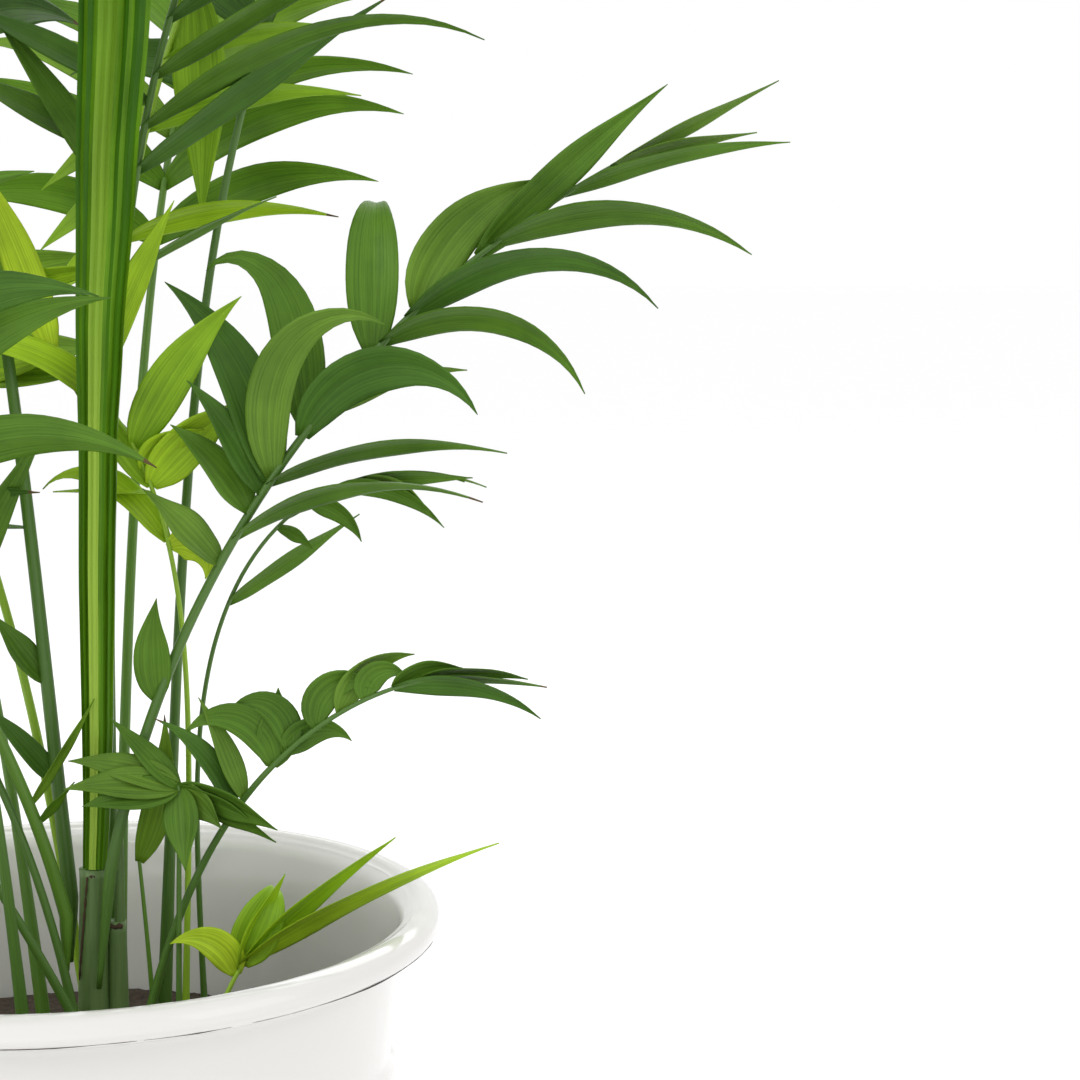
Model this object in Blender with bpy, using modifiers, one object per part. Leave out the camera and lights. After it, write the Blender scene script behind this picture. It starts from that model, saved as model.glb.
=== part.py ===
"""A potted parlour palm: glazed pot, soil, two canes, a striped spear and the fronds around it.

The pot stands on its flat underside with its centre at the origin; the picture looks along +Y.
Lengths are millimetres at the top of the file and turn into metres through MM.
"""
import math
import random

import bmesh
import bpy
from mathutils import Matrix, Vector
from mathutils.bvhtree import BVHTree

MM = 0.001

# Pot
POT_HEIGHT = 235.0
LIP_RADIUS = 133.8
LIP_CREST_RADIUS = 128.5
MOUTH_RADIUS = 122.0
WALL_TOP_RADIUS = 119.5
BEAD_RADIUS = 117.2
BEAD_DROP = 63.0
BASE_RADIUS = 95.0
FOOT_RADIUS = 98.0
INNER_TOP_RADIUS = 116.0
INNER_BASE_RADIUS = 88.0
POT_FLOOR = 9.0
POT_STEPS = 32

# Soil
SOIL_TOP = 174.0
SOIL_RADIUS = 109.0
SOIL_BASE_RADIUS = 87.0
CLEAR = 0.3

# Canes
CANE_RADIUS = 5.4
CANE_TOP = 248.0
CANE_AT = (8.0, 0.0)
CANE_SHIFT = 1.7
SIDE_CANE_RADIUS = 3.9
SIDE_CANE_TOP = 228.0
SIDE_CANE_AT = (17.0, 3.0)
SIDE_SHEATH_RADIUS = 2.2
SIDE_SHEATH_TOP = 262.0

# Spear: the folded newest leaf, as (height, centre x, half width, half depth)
SPEAR = (
    (248.4, 10.5, 4.3, 4.2), (270.0, 11.6, 4.8, 4.4), (300.0, 12.6, 5.6, 4.8), (350.0, 13.4, 6.4, 5.0),
    (400.0, 14.8, 6.8, 5.0), (435.0, 16.2, 8.4, 5.0), (490.0, 19.6, 10.6, 5.0), (553.0, 24.0, 12.6, 4.8),
    (610.0, 28.2, 12.8, 4.4), (660.0, 32.0, 10.4, 3.8), (705.0, 35.6, 6.4, 2.8), (748.0, 39.0, 1.2, 1.2),
)
SPEAR_PLEATS = 6
PLEAT_SHARE = 0.34

# Leaflets
LEAF_KEEL = 0.26
LEAF_MIN_THICK = 0.9
LEAF_THICK_SHARE = 0.011
POSED_RINGS = 4
RULE_RINGS = 3
STALK_SIDES = 5
STALK_RINGS = 7
SWING_STEPS = (0.0, 5.0, -5.0, 10.0, -10.0, 16.0)
GUARD = 0.45
END_SHARE = 0.993

LEAF_DARK = (0.035, 0.150, 0.022, 1.0)
LEAF_BRIGHT = (0.170, 0.330, 0.018, 1.0)
LEAF_MID = (0.075, 0.220, 0.025, 1.0)

# Fronds seen in the picture.  A stalk starts at "foot", heads for the compass angle "way", tilts from the
# vertical by "lean" and then by "sweep" more.  Each posed leaflet reads: share of the stalk, heading in the
# picture plane, angle away from the viewer, length, turn along the leaflet, width, face, how late it turns.
FRONDS = {
    "frond_right": dict(
        foot=(17, -8, 248), heel=(12.0, -7.35, 206.0), way=14, lean=11, sweep=51, ease=1.0, length=322,
        thick=(2.3, 1.1), colour=LEAF_DARK, posed=(
            (.20, 100, -10, 38, -24, 13, 10, 1), (.365, 128, -8, 38, 12, 14, 50, 1),
            (.43, 116, -5, 42, 30, 15, 45, 1), (.455, 110, -8, 48, 24, 15, 45, 1),
            (.47, 96, 4, 82, 48, 19, 20, 1.2), (.475, 97, -12, 88, -128, 16, 10, 1.8),
            (.54, 96, 8, 84, 140, 18, 8, 3.5), (.65, 90, 6, 80, "back", 19, 0, 3),
            (.72, 77, 8, 68, -62, 19, 10, 1), (.81, 47, 5, 92, -10, 14, 25, 1),
            (.465, 29, -6, 88, -42, 13, 60, 1), (.395, 39, -6, 94, -60, 14, 62, 1),
            (.555, 40, 8, 58, -45, 12, 50, 1), (.53, 66, -14, 82, -128, 18, 20, 1.2),
            (.665, 32, -10, 86, -100, 14, 48, 1.2), (.705, 38, -6, 100, -90, 14, 40, 1.5),
            (.83, 27, -4, 98, -64, 14, 50, 1.2), (.93, 25, 0, 84, -24, 9, 50, 1),
            (1, 28, 2, 68, -2, 8, 55, 1), (1, 20, -2, 54, -14, 9, 50, 1))),
    "frond_bright": dict(
        foot=(39, 14, 174.4), way=180, lean=-2, sweep=60, ease=4.0, length=272,
        thick=(1.3, 0.9), colour=LEAF_BRIGHT, posed=(
            (.635, 30, -28, 82, -34, 11, 60, 1), (.69, 48, 10, 24, -165, 12, 10, .8),
            (.705, 38, -25, 88, -44, 15, 45, 1), (.775, 54, -20, 46, -24, 17, 20, 1),
            (.80, 95, -10, 28, -85, 12, 35, .35), (.83, 64, -8, 70, -26, 16, 15, 1.3),
            (.93, 68, -2, 72, -8, 13, 30, 1), (.89, 124, -12, 74, 72, 13, 45, 1),
            (.70, 126, 6, 56, 105, 12, 45, 2.2), (.765, 176, 0, 36, 6, 9, 80, 1),
            (.775, 124, 6, 46, 10, 12, 35, 1), (1, 107, 2, 76, 8, 14, 25, 1),
            (.955, 180, 6, 76, 4, 14, 35, 1), (1, 192, -4, 74, 0, 15, 35, 1))),
    "frond_upper": dict(
        foot=(13, 20, 174.4), way=20, veer=-10, lean=0, sweep=62, ease=3.2, length=568,
        thick=(2.2, 1.0), colour=LEAF_DARK, rule=(.69, 9), reach=112, wide=14, posed=(
            (.50, 34, 0, 62, -14, 8, 70, 1), (.541, 122, 0, 88, 4, 13, 35, 1),
            (.57, 150, 4, 84, 6, 12, 40, 1), (.566, 37, 4, 112, -6, 12, 48, 1.4),
            (.594, 34, -6, 132, -62, 11, 52, 2), (.609, 146, -4, 80, 14, 12, 45, 1),
            (.626, 32, -6, 112, -10, 11, 50, 1.5), (.662, 36, -10, 112, -40, 11, 50, 1.5))),
    "frond_pale": dict(
        foot=(3, 24, 174.4), way=102, veer=-104, lean=6, sweep=48, ease=3.8, length=525,
        thick=(2.0, 1.0), colour=LEAF_BRIGHT, rule=(.79, 6), reach=92, wide=14, posed=(
            (.575, 214, 4, 44, 8, 13, 40, 1), (.57, 28, 4, 82, -42, 12, 50, 1),
            (.62, 214, 4, 48, 8, 13, 40, 1), (.65, 28, 4, 82, -38, 13, 50, 1),
            (.665, 212, 4, 52, 6, 13, 40, 1), (.76, -84, -4, 88, -8, 20, 0, 1),
            (.70, 26, 6, 72, -32, 12, 55, 1))),
    "frond_small": dict(
        foot=(45, 28, 174.4), way=2, lean=-2, sweep=84, ease=3.4, length=238,
        thick=(1.2, 0.8), colour=LEAF_DARK, posed=(
            (.70, 36, 4, 58, -4, 9, 45, 1), (.84, -10, -8, 16, -40, 7, 40, 1),
            (.90, 0, -6, 26, -70, 9, 30, 1), (.95, 24, 4, 48, -44, 5, 70, 1),
            (.95, 10, -4, 44, -60, 8, 30, 1), (1, 16, 4, 46, -40, 5, 60, 1),
            (1, 4, 0, 40, -6, 8, 40, 1), (1, -6, -6, 30, -44, 9, 30, 1),
            (.86, 40, 4, 30, -30, 6, 60, 1))),
    "seedling_right": dict(
        foot=(24, -6, 174.4), way=-8, lean=14, sweep=64, ease=1.8, length=192,
        thick=(1.8, 0.9), colour=LEAF_DARK, posed=(
            (.575, 106, -6, 40, 12, 9, 40, 1), (.545, 104, -12, 46, 50, 9, 40, 1.2),
            (.66, 98, -4, 42, 135, 12, 10, 1.2), (.655, 80, 4, 28, 10, 14, 10, 1),
            (.70, 80, 2, 34, 150, 11, 10, 1.2), (.69, 60, 4, 28, -110, 11, 10, 1.2),
            (.77, 108, -4, 34, -150, 12, 10, 1), (.875, 104, -2, 22, -150, 10, 10, 1),
            (.82, 78, 2, 36, -80, 11, 30, 1), (.93, 44, 2, 26, -56, 9, 30, 1),
            (.97, 18, 2, 40, -34, 9, 50, 1), (1, 4, 0, 42, -16, 8, 60, 1),
            (.93, 10, -6, 54, -50, 11, 45, 1.4))),
    "seedling_palmate": dict(
        foot=(41, -14, 174.4), way=0, lean=1, sweep=0, ease=1.0, length=107,
        thick=(1.2, 1.0), colour=LEAF_DARK, posed=(
            (1, 132, 4, 34, 6, 9, 40, 1), (1, 150, -6, 40, 30, 11, 30, 1),
            (1, 166, -14, 40, 24, 12, 30, 1), (1, 184, -18, 34, 8, 12, 25, 1),
            (1, -82, -26, 30, 0, 13, 10, 1), (1, -30, -20, 22, -20, 11, 20, 1),
            (1, -12, -14, 40, -14, 13, 30, 1), (1, -22, -8, 40, -10, 12, 40, 1),
            (1, 8, 4, 42, -12, 10, 50, 1))),
    "seedling_bright": dict(
        foot=(48, -14, 174.4), way=20, lean=12, sweep=20, ease=1.0, length=44,
        thick=(1.3, 1.0), colour=LEAF_BRIGHT, posed=(
            (.9, 98, -6, 32, 110, 12, 20, 1.2), (.95, 70, 4, 38, -12, 11, 55, 1),
            (1, 66, -6, 38, "back", 17, 0, 3), (1, 46, 0, 72, -12, 12, 50, 1),
            (1, 36, -6, 104, -18, 14, 50, 1))),
    "seedling_single": dict(
        foot=(31, 2, 174.4), way=180, lean=3, sweep=2, ease=1.0, length=76,
        thick=(1.0, 0.9), colour=LEAF_MID, posed=(
            (1, 66, -4, 56, 26, 11, 15, 1),)),
    "frond_left_high": dict(
        foot=(0, 6, 236), heel=(-0.6, 5.6, 212), way=172, lean=5, sweep=82, ease=3.6, length=560,
        thick=(2.9, 1.2), colour=LEAF_DARK, rule=(.50, 10), reach=110, wide=18, posed=(
            (.075, 126, -10, 38, 6, 9, 40, 1), (.14, 124, -6, 32, 4, 10, 40, 1),
            (.24, 178, -4, 30, 2, 6, 85, 1))),
    "frond_left_back": dict(
        foot=(2, 16, 200), heel=(2, 16, 174.4), way=166, lean=9, sweep=66, ease=2.0, length=450,
        thick=(2.1, 1.0), colour=LEAF_BRIGHT, rule=(.56, 10), reach=94, wide=16, posed=(
            (.53, 44, -8, 92, -46, 13, 35, 1),)),
    "frond_left_low": dict(
        foot=(14, -12, 174.4), way=204, lean=24, sweep=52, ease=1.6, length=320,
        thick=(1.8, 0.9), colour=LEAF_DARK, rule=(.50, 9), reach=82, wide=15, posed=()),
    "frond_left_mid": dict(
        foot=(7, -9.6, 174.4), way=184, lean=8, sweep=58, ease=1.2, length=350,
        thick=(1.7, 0.9), colour=LEAF_DARK, rule=(.52, 9), reach=88, wide=16, posed=(
            (.60, 34, -6, 74, -38, 14, 40, 1), (.47, 62, -8, 92, -6, 16, 35, 1))),
    "frond_left_front": dict(
        foot=(0.6, -5.4, 232), heel=(0.2, -5.2, 212), way=214, lean=14, sweep=52, ease=1.0, length=360,
        thick=(2.6, 1.0), colour=LEAF_MID, rule=(.42, 8), reach=90, wide=17, posed=(
            (.12, 57, 14, 44, 4, 6, 60, 1), (.10, 48, 8, 20, 0, 6, 60, 1))),
    "seedling_left": dict(
        foot=(-30, -22, 174.4), way=190, lean=2, sweep=10, ease=1.0, length=96,
        thick=(1.3, 1.0), colour=LEAF_DARK, posed=(
            (.95, 22, -4, 46, -72, 12, 30, 1), (1, 84, 0, 50, 10, 12, 10, 1),
            (1, 150, 6, 48, 30, 12, 30, 1), (.97, 190, -20, 44, 40, 12, 30, 1),
            (1, 120, 20, 46, 20, 12, 30, 1))),
    "crown_back": dict(
        foot=(10, 40, 174.4), way=84, lean=8, sweep=76, ease=2.2, length=560,
        thick=(2.4, 1.1), colour=LEAF_MID, rule=(.55, 10), reach=108, wide=17, posed=()),
    "crown_back_right": dict(
        foot=(28, 34, 174.4), way=52, lean=4, sweep=80, ease=3.2, length=570,
        thick=(2.3, 1.0), colour=LEAF_DARK, rule=(.62, 8), reach=100, wide=16, posed=()),
    "crown_back_left": dict(
        foot=(-16, 34, 174.4), way=132, lean=12, sweep=74, ease=1.8, length=500,
        thick=(2.3, 1.0), colour=LEAF_MID, rule=(.50, 9), reach=104, wide=17, posed=()),
    "crown_left": dict(
        foot=(-26, 8, 174.4), way=158, lean=16, sweep=76, ease=1.5, length=410,
        thick=(2.1, 1.0), colour=LEAF_BRIGHT, rule=(.46, 8), reach=98, wide=17, posed=()),
    "crown_front": dict(
        foot=(-8, -30, 174.4), way=248, lean=8, sweep=74, ease=2.2, length=440,
        thick=(2.2, 1.0), colour=LEAF_DARK, rule=(.52, 10), reach=94, wide=16, posed=()),
    "crown_front_left": dict(
        foot=(-24, -12, 174.4), way=226, lean=10, sweep=78, ease=2.0, length=500,
        thick=(2.3, 1.0), colour=LEAF_MID, rule=(.50, 9), reach=104, wide=17, posed=()),
}


def vec(x, y, z):
    return Vector((x, y, z)) * MM


def material(name, colour, rough):
    mat = bpy.data.materials.new(name)
    mat.use_nodes = True
    shader = mat.node_tree.nodes["Principled BSDF"]
    shader.inputs["Base Color"].default_value = colour
    shader.inputs["Roughness"].default_value = rough
    mat.diffuse_color = colour
    return mat


def new_object(name, verts, faces, mat=None, home=None):
    mesh = bpy.data.meshes.new(name)
    mesh.from_pydata([tuple(v) for v in verts], [], faces)
    mesh.update()
    obj = bpy.data.objects.new(name, mesh)
    (home or bpy.context.scene.collection).objects.link(obj)
    if mat:
        mesh.materials.append(mat)
    return obj


def bake(obj):
    """Turn an object's modifiers into its mesh."""
    graph = bpy.context.evaluated_depsgraph_get()
    mesh = bpy.data.meshes.new_from_object(obj.evaluated_get(graph))
    obj.modifiers.clear()
    obj.data = mesh
    mesh.name = obj.name


def turned(name, profile, steps, mat):
    """A solid turned from a profile of (radius, height) in mm, listed from the top down the outside."""
    verts = [vec(r, 0, z) for r, z in profile]
    edges = [(i, i + 1) for i in range(len(verts) - 1)]
    mesh = bpy.data.meshes.new(name)
    mesh.from_pydata([tuple(v) for v in verts], edges, [])
    obj = bpy.data.objects.new(name, mesh)
    bpy.context.scene.collection.objects.link(obj)
    screw = obj.modifiers.new("turn", "SCREW")
    screw.axis = "Z"
    screw.steps = steps
    screw.render_steps = steps
    screw.use_merge_vertices = True
    screw.merge_threshold = 0.00002
    screw.use_normal_calculate = True
    mesh.materials.append(mat)
    bake(obj)
    return obj


def pot_profile():
    top = POT_HEIGHT
    rows = [(0.0, POT_FLOOR), (INNER_BASE_RADIUS, POT_FLOOR), (INNER_TOP_RADIUS - 4.0, 150.0),
            (INNER_TOP_RADIUS, top - 22.0), (MOUTH_RADIUS - 3.2, top - 8.0), (MOUTH_RADIUS, top - 2.2)]
    for k in range(7):
        a = math.radians(150.0 - 25.0 * k)
        mid = (MOUTH_RADIUS + LIP_RADIUS) / 2.0
        half = (LIP_RADIUS - MOUTH_RADIUS) / 2.0
        rows.append((mid + half * math.cos(a), top - 5.6 + 5.6 * math.sin(a)))
    rows += [(LIP_RADIUS, top - 7.4), (LIP_RADIUS - 1.6, top - 9.6), (LIP_RADIUS - 5.0, top - 11.2),
             (WALL_TOP_RADIUS + 0.8, top - 13.6), (WALL_TOP_RADIUS, top - 17.0),
             (118.1, top - 31.0), (116.5, top - 44.0), (115.3, top - 53.4)]
    for k in range(5):
        a = math.radians(72.0 - 36.0 * k)
        rows.append((BEAD_RADIUS - 3.0 + 3.0 * math.cos(a), top - BEAD_DROP + 7.0 * math.sin(a)))
    rows += [(115.0, top - 72.0), (108.0, 100.0), (100.5, 50.0), (BASE_RADIUS, 14.0),
             (FOOT_RADIUS - 1.0, 9.0), (FOOT_RADIUS, 5.0), (FOOT_RADIUS - 1.6, 0.0), (0.0, 0.0)]
    return rows


def soil_profile():
    low = POT_FLOOR + CLEAR
    return [(0.0, SOIL_TOP), (SOIL_RADIUS - 9.0, SOIL_TOP - 0.6), (SOIL_RADIUS, SOIL_TOP - 4.0),
            (SOIL_BASE_RADIUS, low), (0.0, low)]


def ring_faces(rings, sides, first=0):
    faces = []
    for i in range(rings - 1):
        for j in range(sides):
            a, b = first + i * sides + j, first + i * sides + (j + 1) % sides
            faces.append((a, b, b + sides, a + sides))
    return faces


def tube(points, radii, sides):
    """A closed tube through the points; the ends are flat."""
    verts, side = [], None
    for i, p in enumerate(points):
        d = (points[min(i + 1, len(points) - 1)] - points[max(i - 1, 0)]).normalized()
        if side is None:
            side = d.cross(Vector((0, 1, 0)))
            if side.length < 0.1:
                side = d.cross(Vector((1, 0, 0)))
        side = (side - d * side.dot(d)).normalized()
        other = d.cross(side)
        for j in range(sides):
            a = 2.0 * math.pi * j / sides
            verts.append(p + (side * math.cos(a) + other * math.sin(a)) * radii[i])
    faces = ring_faces(len(points), sides)
    faces.append(tuple(range(sides - 1, -1, -1)))
    last = (len(points) - 1) * sides
    faces.append(tuple(range(last, last + sides)))
    return verts, faces


def stalk_points(f, count=48):
    """The stalk's centre line from its foot, as count + 1 points."""
    rise = 0.0 if "heel" in f else f["thick"][0] * abs(math.sin(math.radians(f["lean"])))
    x, y, z = f["foot"]
    points = [vec(x, y, z + rise)]
    for i in range(count):
        s = (i + 0.5) / count
        tilt = math.radians(f["lean"] + f["sweep"] * s ** f["ease"])
        way = math.radians(f["way"] + f.get("veer", 0.0) * s)
        d = Vector((math.sin(tilt) * math.cos(way), math.sin(tilt) * math.sin(way), math.cos(tilt)))
        points.append(points[-1] + d * (f["length"] * MM / count))
    return points


def along(points, share):
    x = share * (len(points) - 1)
    i = min(int(x), len(points) - 2)
    return points[i].lerp(points[i + 1], x - i), (points[i + 1] - points[i]).normalized()


def half_width(s):
    """Leaflet outline: widest near a third of its length, narrow where it joins the rib."""
    peak = (0.355 ** 0.55) * (0.645 ** 1.0)
    full = (max(s, 1e-6) ** 0.55) * ((1.0 - s) ** 1.0) / peak
    return max(full, 0.30 * (1.0 - s) ** 2)


def leaf(start, first, axis, turn, late, across, length, width, share=1.0):
    """One leaflet as plain numbers: where it starts, how it heads and bends, and its size in mm."""
    return dict(start=start, first=first, axis=axis, turn=turn, late=late, across=across,
                length=length, width=width, share=share)


def posed_leaf(points, row, swing=0.0):
    share, heading, away, length, turn, width, face, late = row
    start, _ = along(points, min(share, END_SHARE))
    h, a = math.radians(heading), math.radians(away + swing)
    first = Vector((math.cos(h) * math.cos(a), math.sin(a), math.sin(h) * math.cos(a)))
    flat = Vector((-math.sin(h), 0.0, math.cos(h)))
    deep = first.cross(flat)
    f = math.radians(face)
    across = flat * math.cos(f) + deep * math.sin(f)
    axis, angle = Vector((0, -1, 0)), math.radians(0.0 if turn == "back" else turn)
    if turn == "back":
        axis, angle = -flat, math.radians(-150.0)
    return leaf(start, first, axis, angle, late, across, length, width, share)


def rule_leaves(name, f, points, swing=0.0):
    """Leaflets in pairs along the rest of the rib, longest in the middle and hanging by their weight."""
    begin, pairs = f["rule"]
    rng = random.Random(name)
    rows = []
    for i in range(pairs + 1):
        t = i / pairs
        share = begin + (1.0 - begin) * t
        start, d = along(points, min(share, 1.0))
        side = d.cross(Vector((0, 0, 1))).normalized()
        up = side.cross(d).normalized()
        for sign in (-1, 1):
            splay = math.radians(62.0 - 44.0 * t + rng.uniform(-5, 5))
            lift = math.radians(26.0 + rng.uniform(-10, 10) + swing)
            droop = math.radians(34.0 + 22.0 * (1.0 - t) + rng.uniform(-12, 14))
            size = 0.62 + 0.38 * math.sin(math.pi * min(1.0, 0.22 + 0.80 * t) ** 0.9)
            length = f["reach"] * size * rng.uniform(0.93, 1.07)
            width = f["wide"] * (0.72 + 0.28 * size) * (1.0 - 0.30 * t) * rng.uniform(0.92, 1.08)
            first = d * math.cos(splay) + (side * sign * math.cos(lift) + up * math.sin(lift)) * math.sin(splay)
            first.normalize()
            axis = first.cross(Vector((0, 0, -1)))
            if axis.length < 0.05:
                axis = side.copy()
            axis.normalize()
            across = up.cross(first).normalized()
            rows.append(leaf(start, first, axis, droop, 1.15, across, length, width, share))
    return rows


def leaf_frames(row, count):
    """Points, across and normal directions at even steps along a leaflet."""
    points, frames = [row["start"].copy()], []
    steps = 24
    for i in range(steps):
        s = (i + 0.5) / steps
        spin = Matrix.Rotation(row["turn"] * s ** row["late"], 3, row["axis"])
        points.append(points[-1] + (spin @ row["first"]) * (row["length"] * MM / steps))
    for k in range(count + 1):
        s = k / count
        spin = Matrix.Rotation(row["turn"] * s ** row["late"], 3, row["axis"])
        p, _ = along(points, s)
        across = spin @ row["across"]
        normal = (spin @ row["first"]).cross(across).normalized()
        frames.append((s, p, across.normalized(), normal))
    return frames


def blade(row, rings, extra=0.0):
    """A thin closed leaflet with a shallow keel; extra mm of thickness makes its guard shape."""
    thick = max(LEAF_MIN_THICK, LEAF_THICK_SHARE * row["length"]) + 2.0 * extra
    verts = []
    frames = leaf_frames(row, rings)
    for s, p, across, normal in frames[:-1]:
        half = half_width(s) * row["width"] / 2.0
        keel = LEAF_KEEL * half
        verts += [p + across * (half + extra) * MM + normal * (keel * 0.5 + extra) * MM,
                  p - across * (half + extra) * MM + normal * (keel * 0.5 + extra) * MM,
                  p - normal * (thick + keel * 0.5) * MM]
    faces = ring_faces(rings, 3)
    faces.append((2, 1, 0))
    verts.append(frames[-1][1])
    tip, last = len(verts) - 1, (rings - 1) * 3
    for j in range(3):
        faces.append((last + j, last + (j + 1) % 3, tip))
    return verts, faces


def stalk_tube(f, points):
    path = list(points[::max(1, len(points) // STALK_RINGS)])
    if (path[-1] - points[-1]).length > 1e-6:
        path.append(points[-1])
    if "heel" in f:
        path.insert(0, vec(*f["heel"]))
    thick = [(f["thick"][0] + (f["thick"][1] - f["thick"][0]) * i / (len(path) - 1)) * MM
             for i in range(len(path))]
    return path, thick


class Ground:
    """Keeps the shapes already placed, by node, and tells whether a new one would touch them."""

    def __init__(self):
        self.trees = []

    def add(self, owner, verts, faces):
        low = [min(v[i] for v in verts) for i in range(3)]
        high = [max(v[i] for v in verts) for i in range(3)]
        self.trees.append((owner, low, high, BVHTree.FromPolygons(verts, faces)))

    def touches(self, owner, verts, faces):
        low = [min(v[i] for v in verts) for i in range(3)]
        high = [max(v[i] for v in verts) for i in range(3)]
        tree = None
        for other, lo, hi, built in self.trees:
            if other == owner or any(low[i] > hi[i] or high[i] < lo[i] for i in range(3)):
                continue
            tree = tree or BVHTree.FromPolygons(verts, faces)
            if tree.overlap(built):
                return True
        return False


def place_leaves(ground):
    """Every frond's stalk first, then its leaflets; one that would touch a neighbour swings or is left out."""
    lines = {name: stalk_points(f) for name, f in FRONDS.items()}
    for name, f in FRONDS.items():
        path, thick = stalk_tube(f, lines[name])
        ground.add(name, *tube(path, [t + GUARD * MM for t in thick], STALK_SIDES))
    kept = {name: [] for name in FRONDS}
    for stage in ("posed", "rule"):
        for name, f in FRONDS.items():
            if not f.get(stage):
                continue
            count = len(f["posed"]) if stage == "posed" else 2 * (f["rule"][1] + 1)
            tries = [f["posed"] and [posed_leaf(lines[name], r, w) for r in f["posed"]] if stage == "posed"
                     else rule_leaves(name, f, lines[name], w) for w in SWING_STEPS]
            rings = POSED_RINGS if stage == "posed" else RULE_RINGS
            for i in range(count):
                for rows in tries:
                    verts, faces = blade(rows[i], rings, GUARD)
                    if not ground.touches(name, verts, faces):
                        ground.add(name, verts, faces)
                        kept[name].append((rows[i], rings))
                        break
    return lines, kept


def join(base, parts, solver):
    """Union base with the objects of a collection, then drop them."""
    helper = bpy.data.collections.new(base.name + "_parts")
    bpy.context.scene.collection.children.link(helper)
    for part in parts:
        helper.objects.link(part)
        bpy.context.scene.collection.objects.unlink(part)
    union = base.modifiers.new("union", "BOOLEAN")
    union.operation = "UNION"
    union.operand_type = "COLLECTION"
    union.collection = helper
    union.solver = solver
    bake(base)
    for part in parts:
        bpy.data.objects.remove(part)
    bpy.data.collections.remove(helper)


def fill_and_trim(obj):
    """Keep the largest shell: drops loose scrap and the inner walls of hollows the union sealed."""
    bm = bmesh.new()
    bm.from_mesh(obj.data)
    seen, shells = set(), []
    for face in bm.faces:
        if face in seen:
            continue
        seen.add(face)
        shell, queue = [], [face]
        while queue:
            item = queue.pop()
            shell.append(item)
            for edge in item.edges:
                for near in edge.link_faces:
                    if near not in seen:
                        seen.add(near)
                        queue.append(near)
        shells.append(shell)
    if len(shells) > 1:
        shells.sort(key=lambda shell: sum(item.calc_area() for item in shell))
        drop = [item for shell in shells[:-1] for item in shell]
        bmesh.ops.delete(bm, geom=drop, context="FACES")
        loose = [v for v in bm.verts if not v.link_faces]
        bmesh.ops.delete(bm, geom=loose, context="VERTS")
    bm.to_mesh(obj.data)
    bm.free()


def frond(name, f, points, leaves, mat):
    path, thick = stalk_tube(f, points)
    swell = f.get("swell", 0.0)
    base = new_object(name, *tube(path, [t + swell * MM for t in thick], STALK_SIDES), mat)
    parts = [new_object(name + "_leaf", *blade(row, rings, swell), mat) for row, rings in leaves]
    join(base, parts, f.get("solver", "MANIFOLD"))
    fill_and_trim(base)
    return base


def spear(mat):
    verts = []
    count = 2 * SPEAR_PLEATS + 1
    for z, x, half, deep in SPEAR:
        front, back = [], []
        for i in range(count):
            u = -1.0 + 2.0 * i / (count - 1)
            bulge = deep * math.sqrt(max(0.0, 1.0 - 0.80 * u * u))
            fold = PLEAT_SHARE * deep * (1 if i % 2 else -1) * min(1.0, half / 6.0)
            front.append(vec(x + half * u, -bulge + fold * 0.5, z))
            if 0 < i < count - 1:
                back.append(vec(x + half * u, bulge + fold * 0.5, z))
        verts += front + back[::-1]
    sides = count + count - 2
    faces = ring_faces(len(SPEAR), sides)
    faces.append(tuple(range(sides - 1, -1, -1)))
    last = (len(SPEAR) - 1) * sides
    faces.append(tuple(range(last, last + sides)))
    return new_object("spear", verts, faces, mat)


def canes(mat):
    x, y = CANE_AT
    main = [vec(x + CANE_SHIFT * t, y, SOIL_TOP + CLEAR + (CANE_TOP - SOIL_TOP - CLEAR) * t)
            for t in (0.0, 0.35, 0.7, 1.0)]
    base = new_object("canes", *tube(main, [CANE_RADIUS * k * MM for k in (1.04, 1.0, 0.97, 0.92)], 14), mat)
    sx, sy = SIDE_CANE_AT
    side = [vec(sx, sy, SOIL_TOP + CLEAR), vec(sx, sy, SIDE_CANE_TOP - 4.0), vec(sx, sy, SIDE_CANE_TOP)]
    part = new_object("side", *tube(side, [SIDE_CANE_RADIUS * k * MM for k in (1.05, 1.0, 0.9)], 12), mat)
    sheath = [vec(sx + 1.0, sy, SIDE_CANE_TOP - 8.0), vec(sx + 1.5, sy, SIDE_SHEATH_TOP - 12.0),
              vec(sx + 1.8, sy, SIDE_SHEATH_TOP)]
    top = new_object("sheath", *tube(sheath, [SIDE_SHEATH_RADIUS * k * MM for k in (1.0, 1.0, 0.5)], 10), mat)
    join(base, [part, top], "EXACT")
    return base


def main():
    for obj in list(bpy.data.objects):
        bpy.data.objects.remove(obj)
    glaze = material("glaze", (0.83, 0.82, 0.79, 1.0), 0.12)
    earth = material("earth", (0.035, 0.024, 0.017, 1.0), 0.95)
    stem = material("cane_green", (0.16, 0.25, 0.09, 1.0), 0.5)
    stripe = material("spear_green", (0.13, 0.27, 0.03, 1.0), 0.45)
    ground = Ground()
    fixed = [turned("pot", pot_profile(), POT_STEPS, glaze), turned("soil", soil_profile(), POT_STEPS, earth),
             canes(stem), spear(stripe)]
    for obj in fixed:
        mesh = obj.data
        ground.add(obj.name, [v.co.copy() for v in mesh.vertices], [tuple(p.vertices) for p in mesh.polygons])
    lines, kept = place_leaves(ground)
    for name, f in FRONDS.items():
        frond(name, f, lines[name], kept[name], material(name + "_green", f["colour"], 0.45))
    print("leaflets", sum(len(k) for k in kept.values()),
          "left out", {n: len(f["posed"]) + (2 * (f["rule"][1] + 1) if f.get("rule") else 0) - len(kept[n])
                       for n, f in FRONDS.items()})


main()
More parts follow.
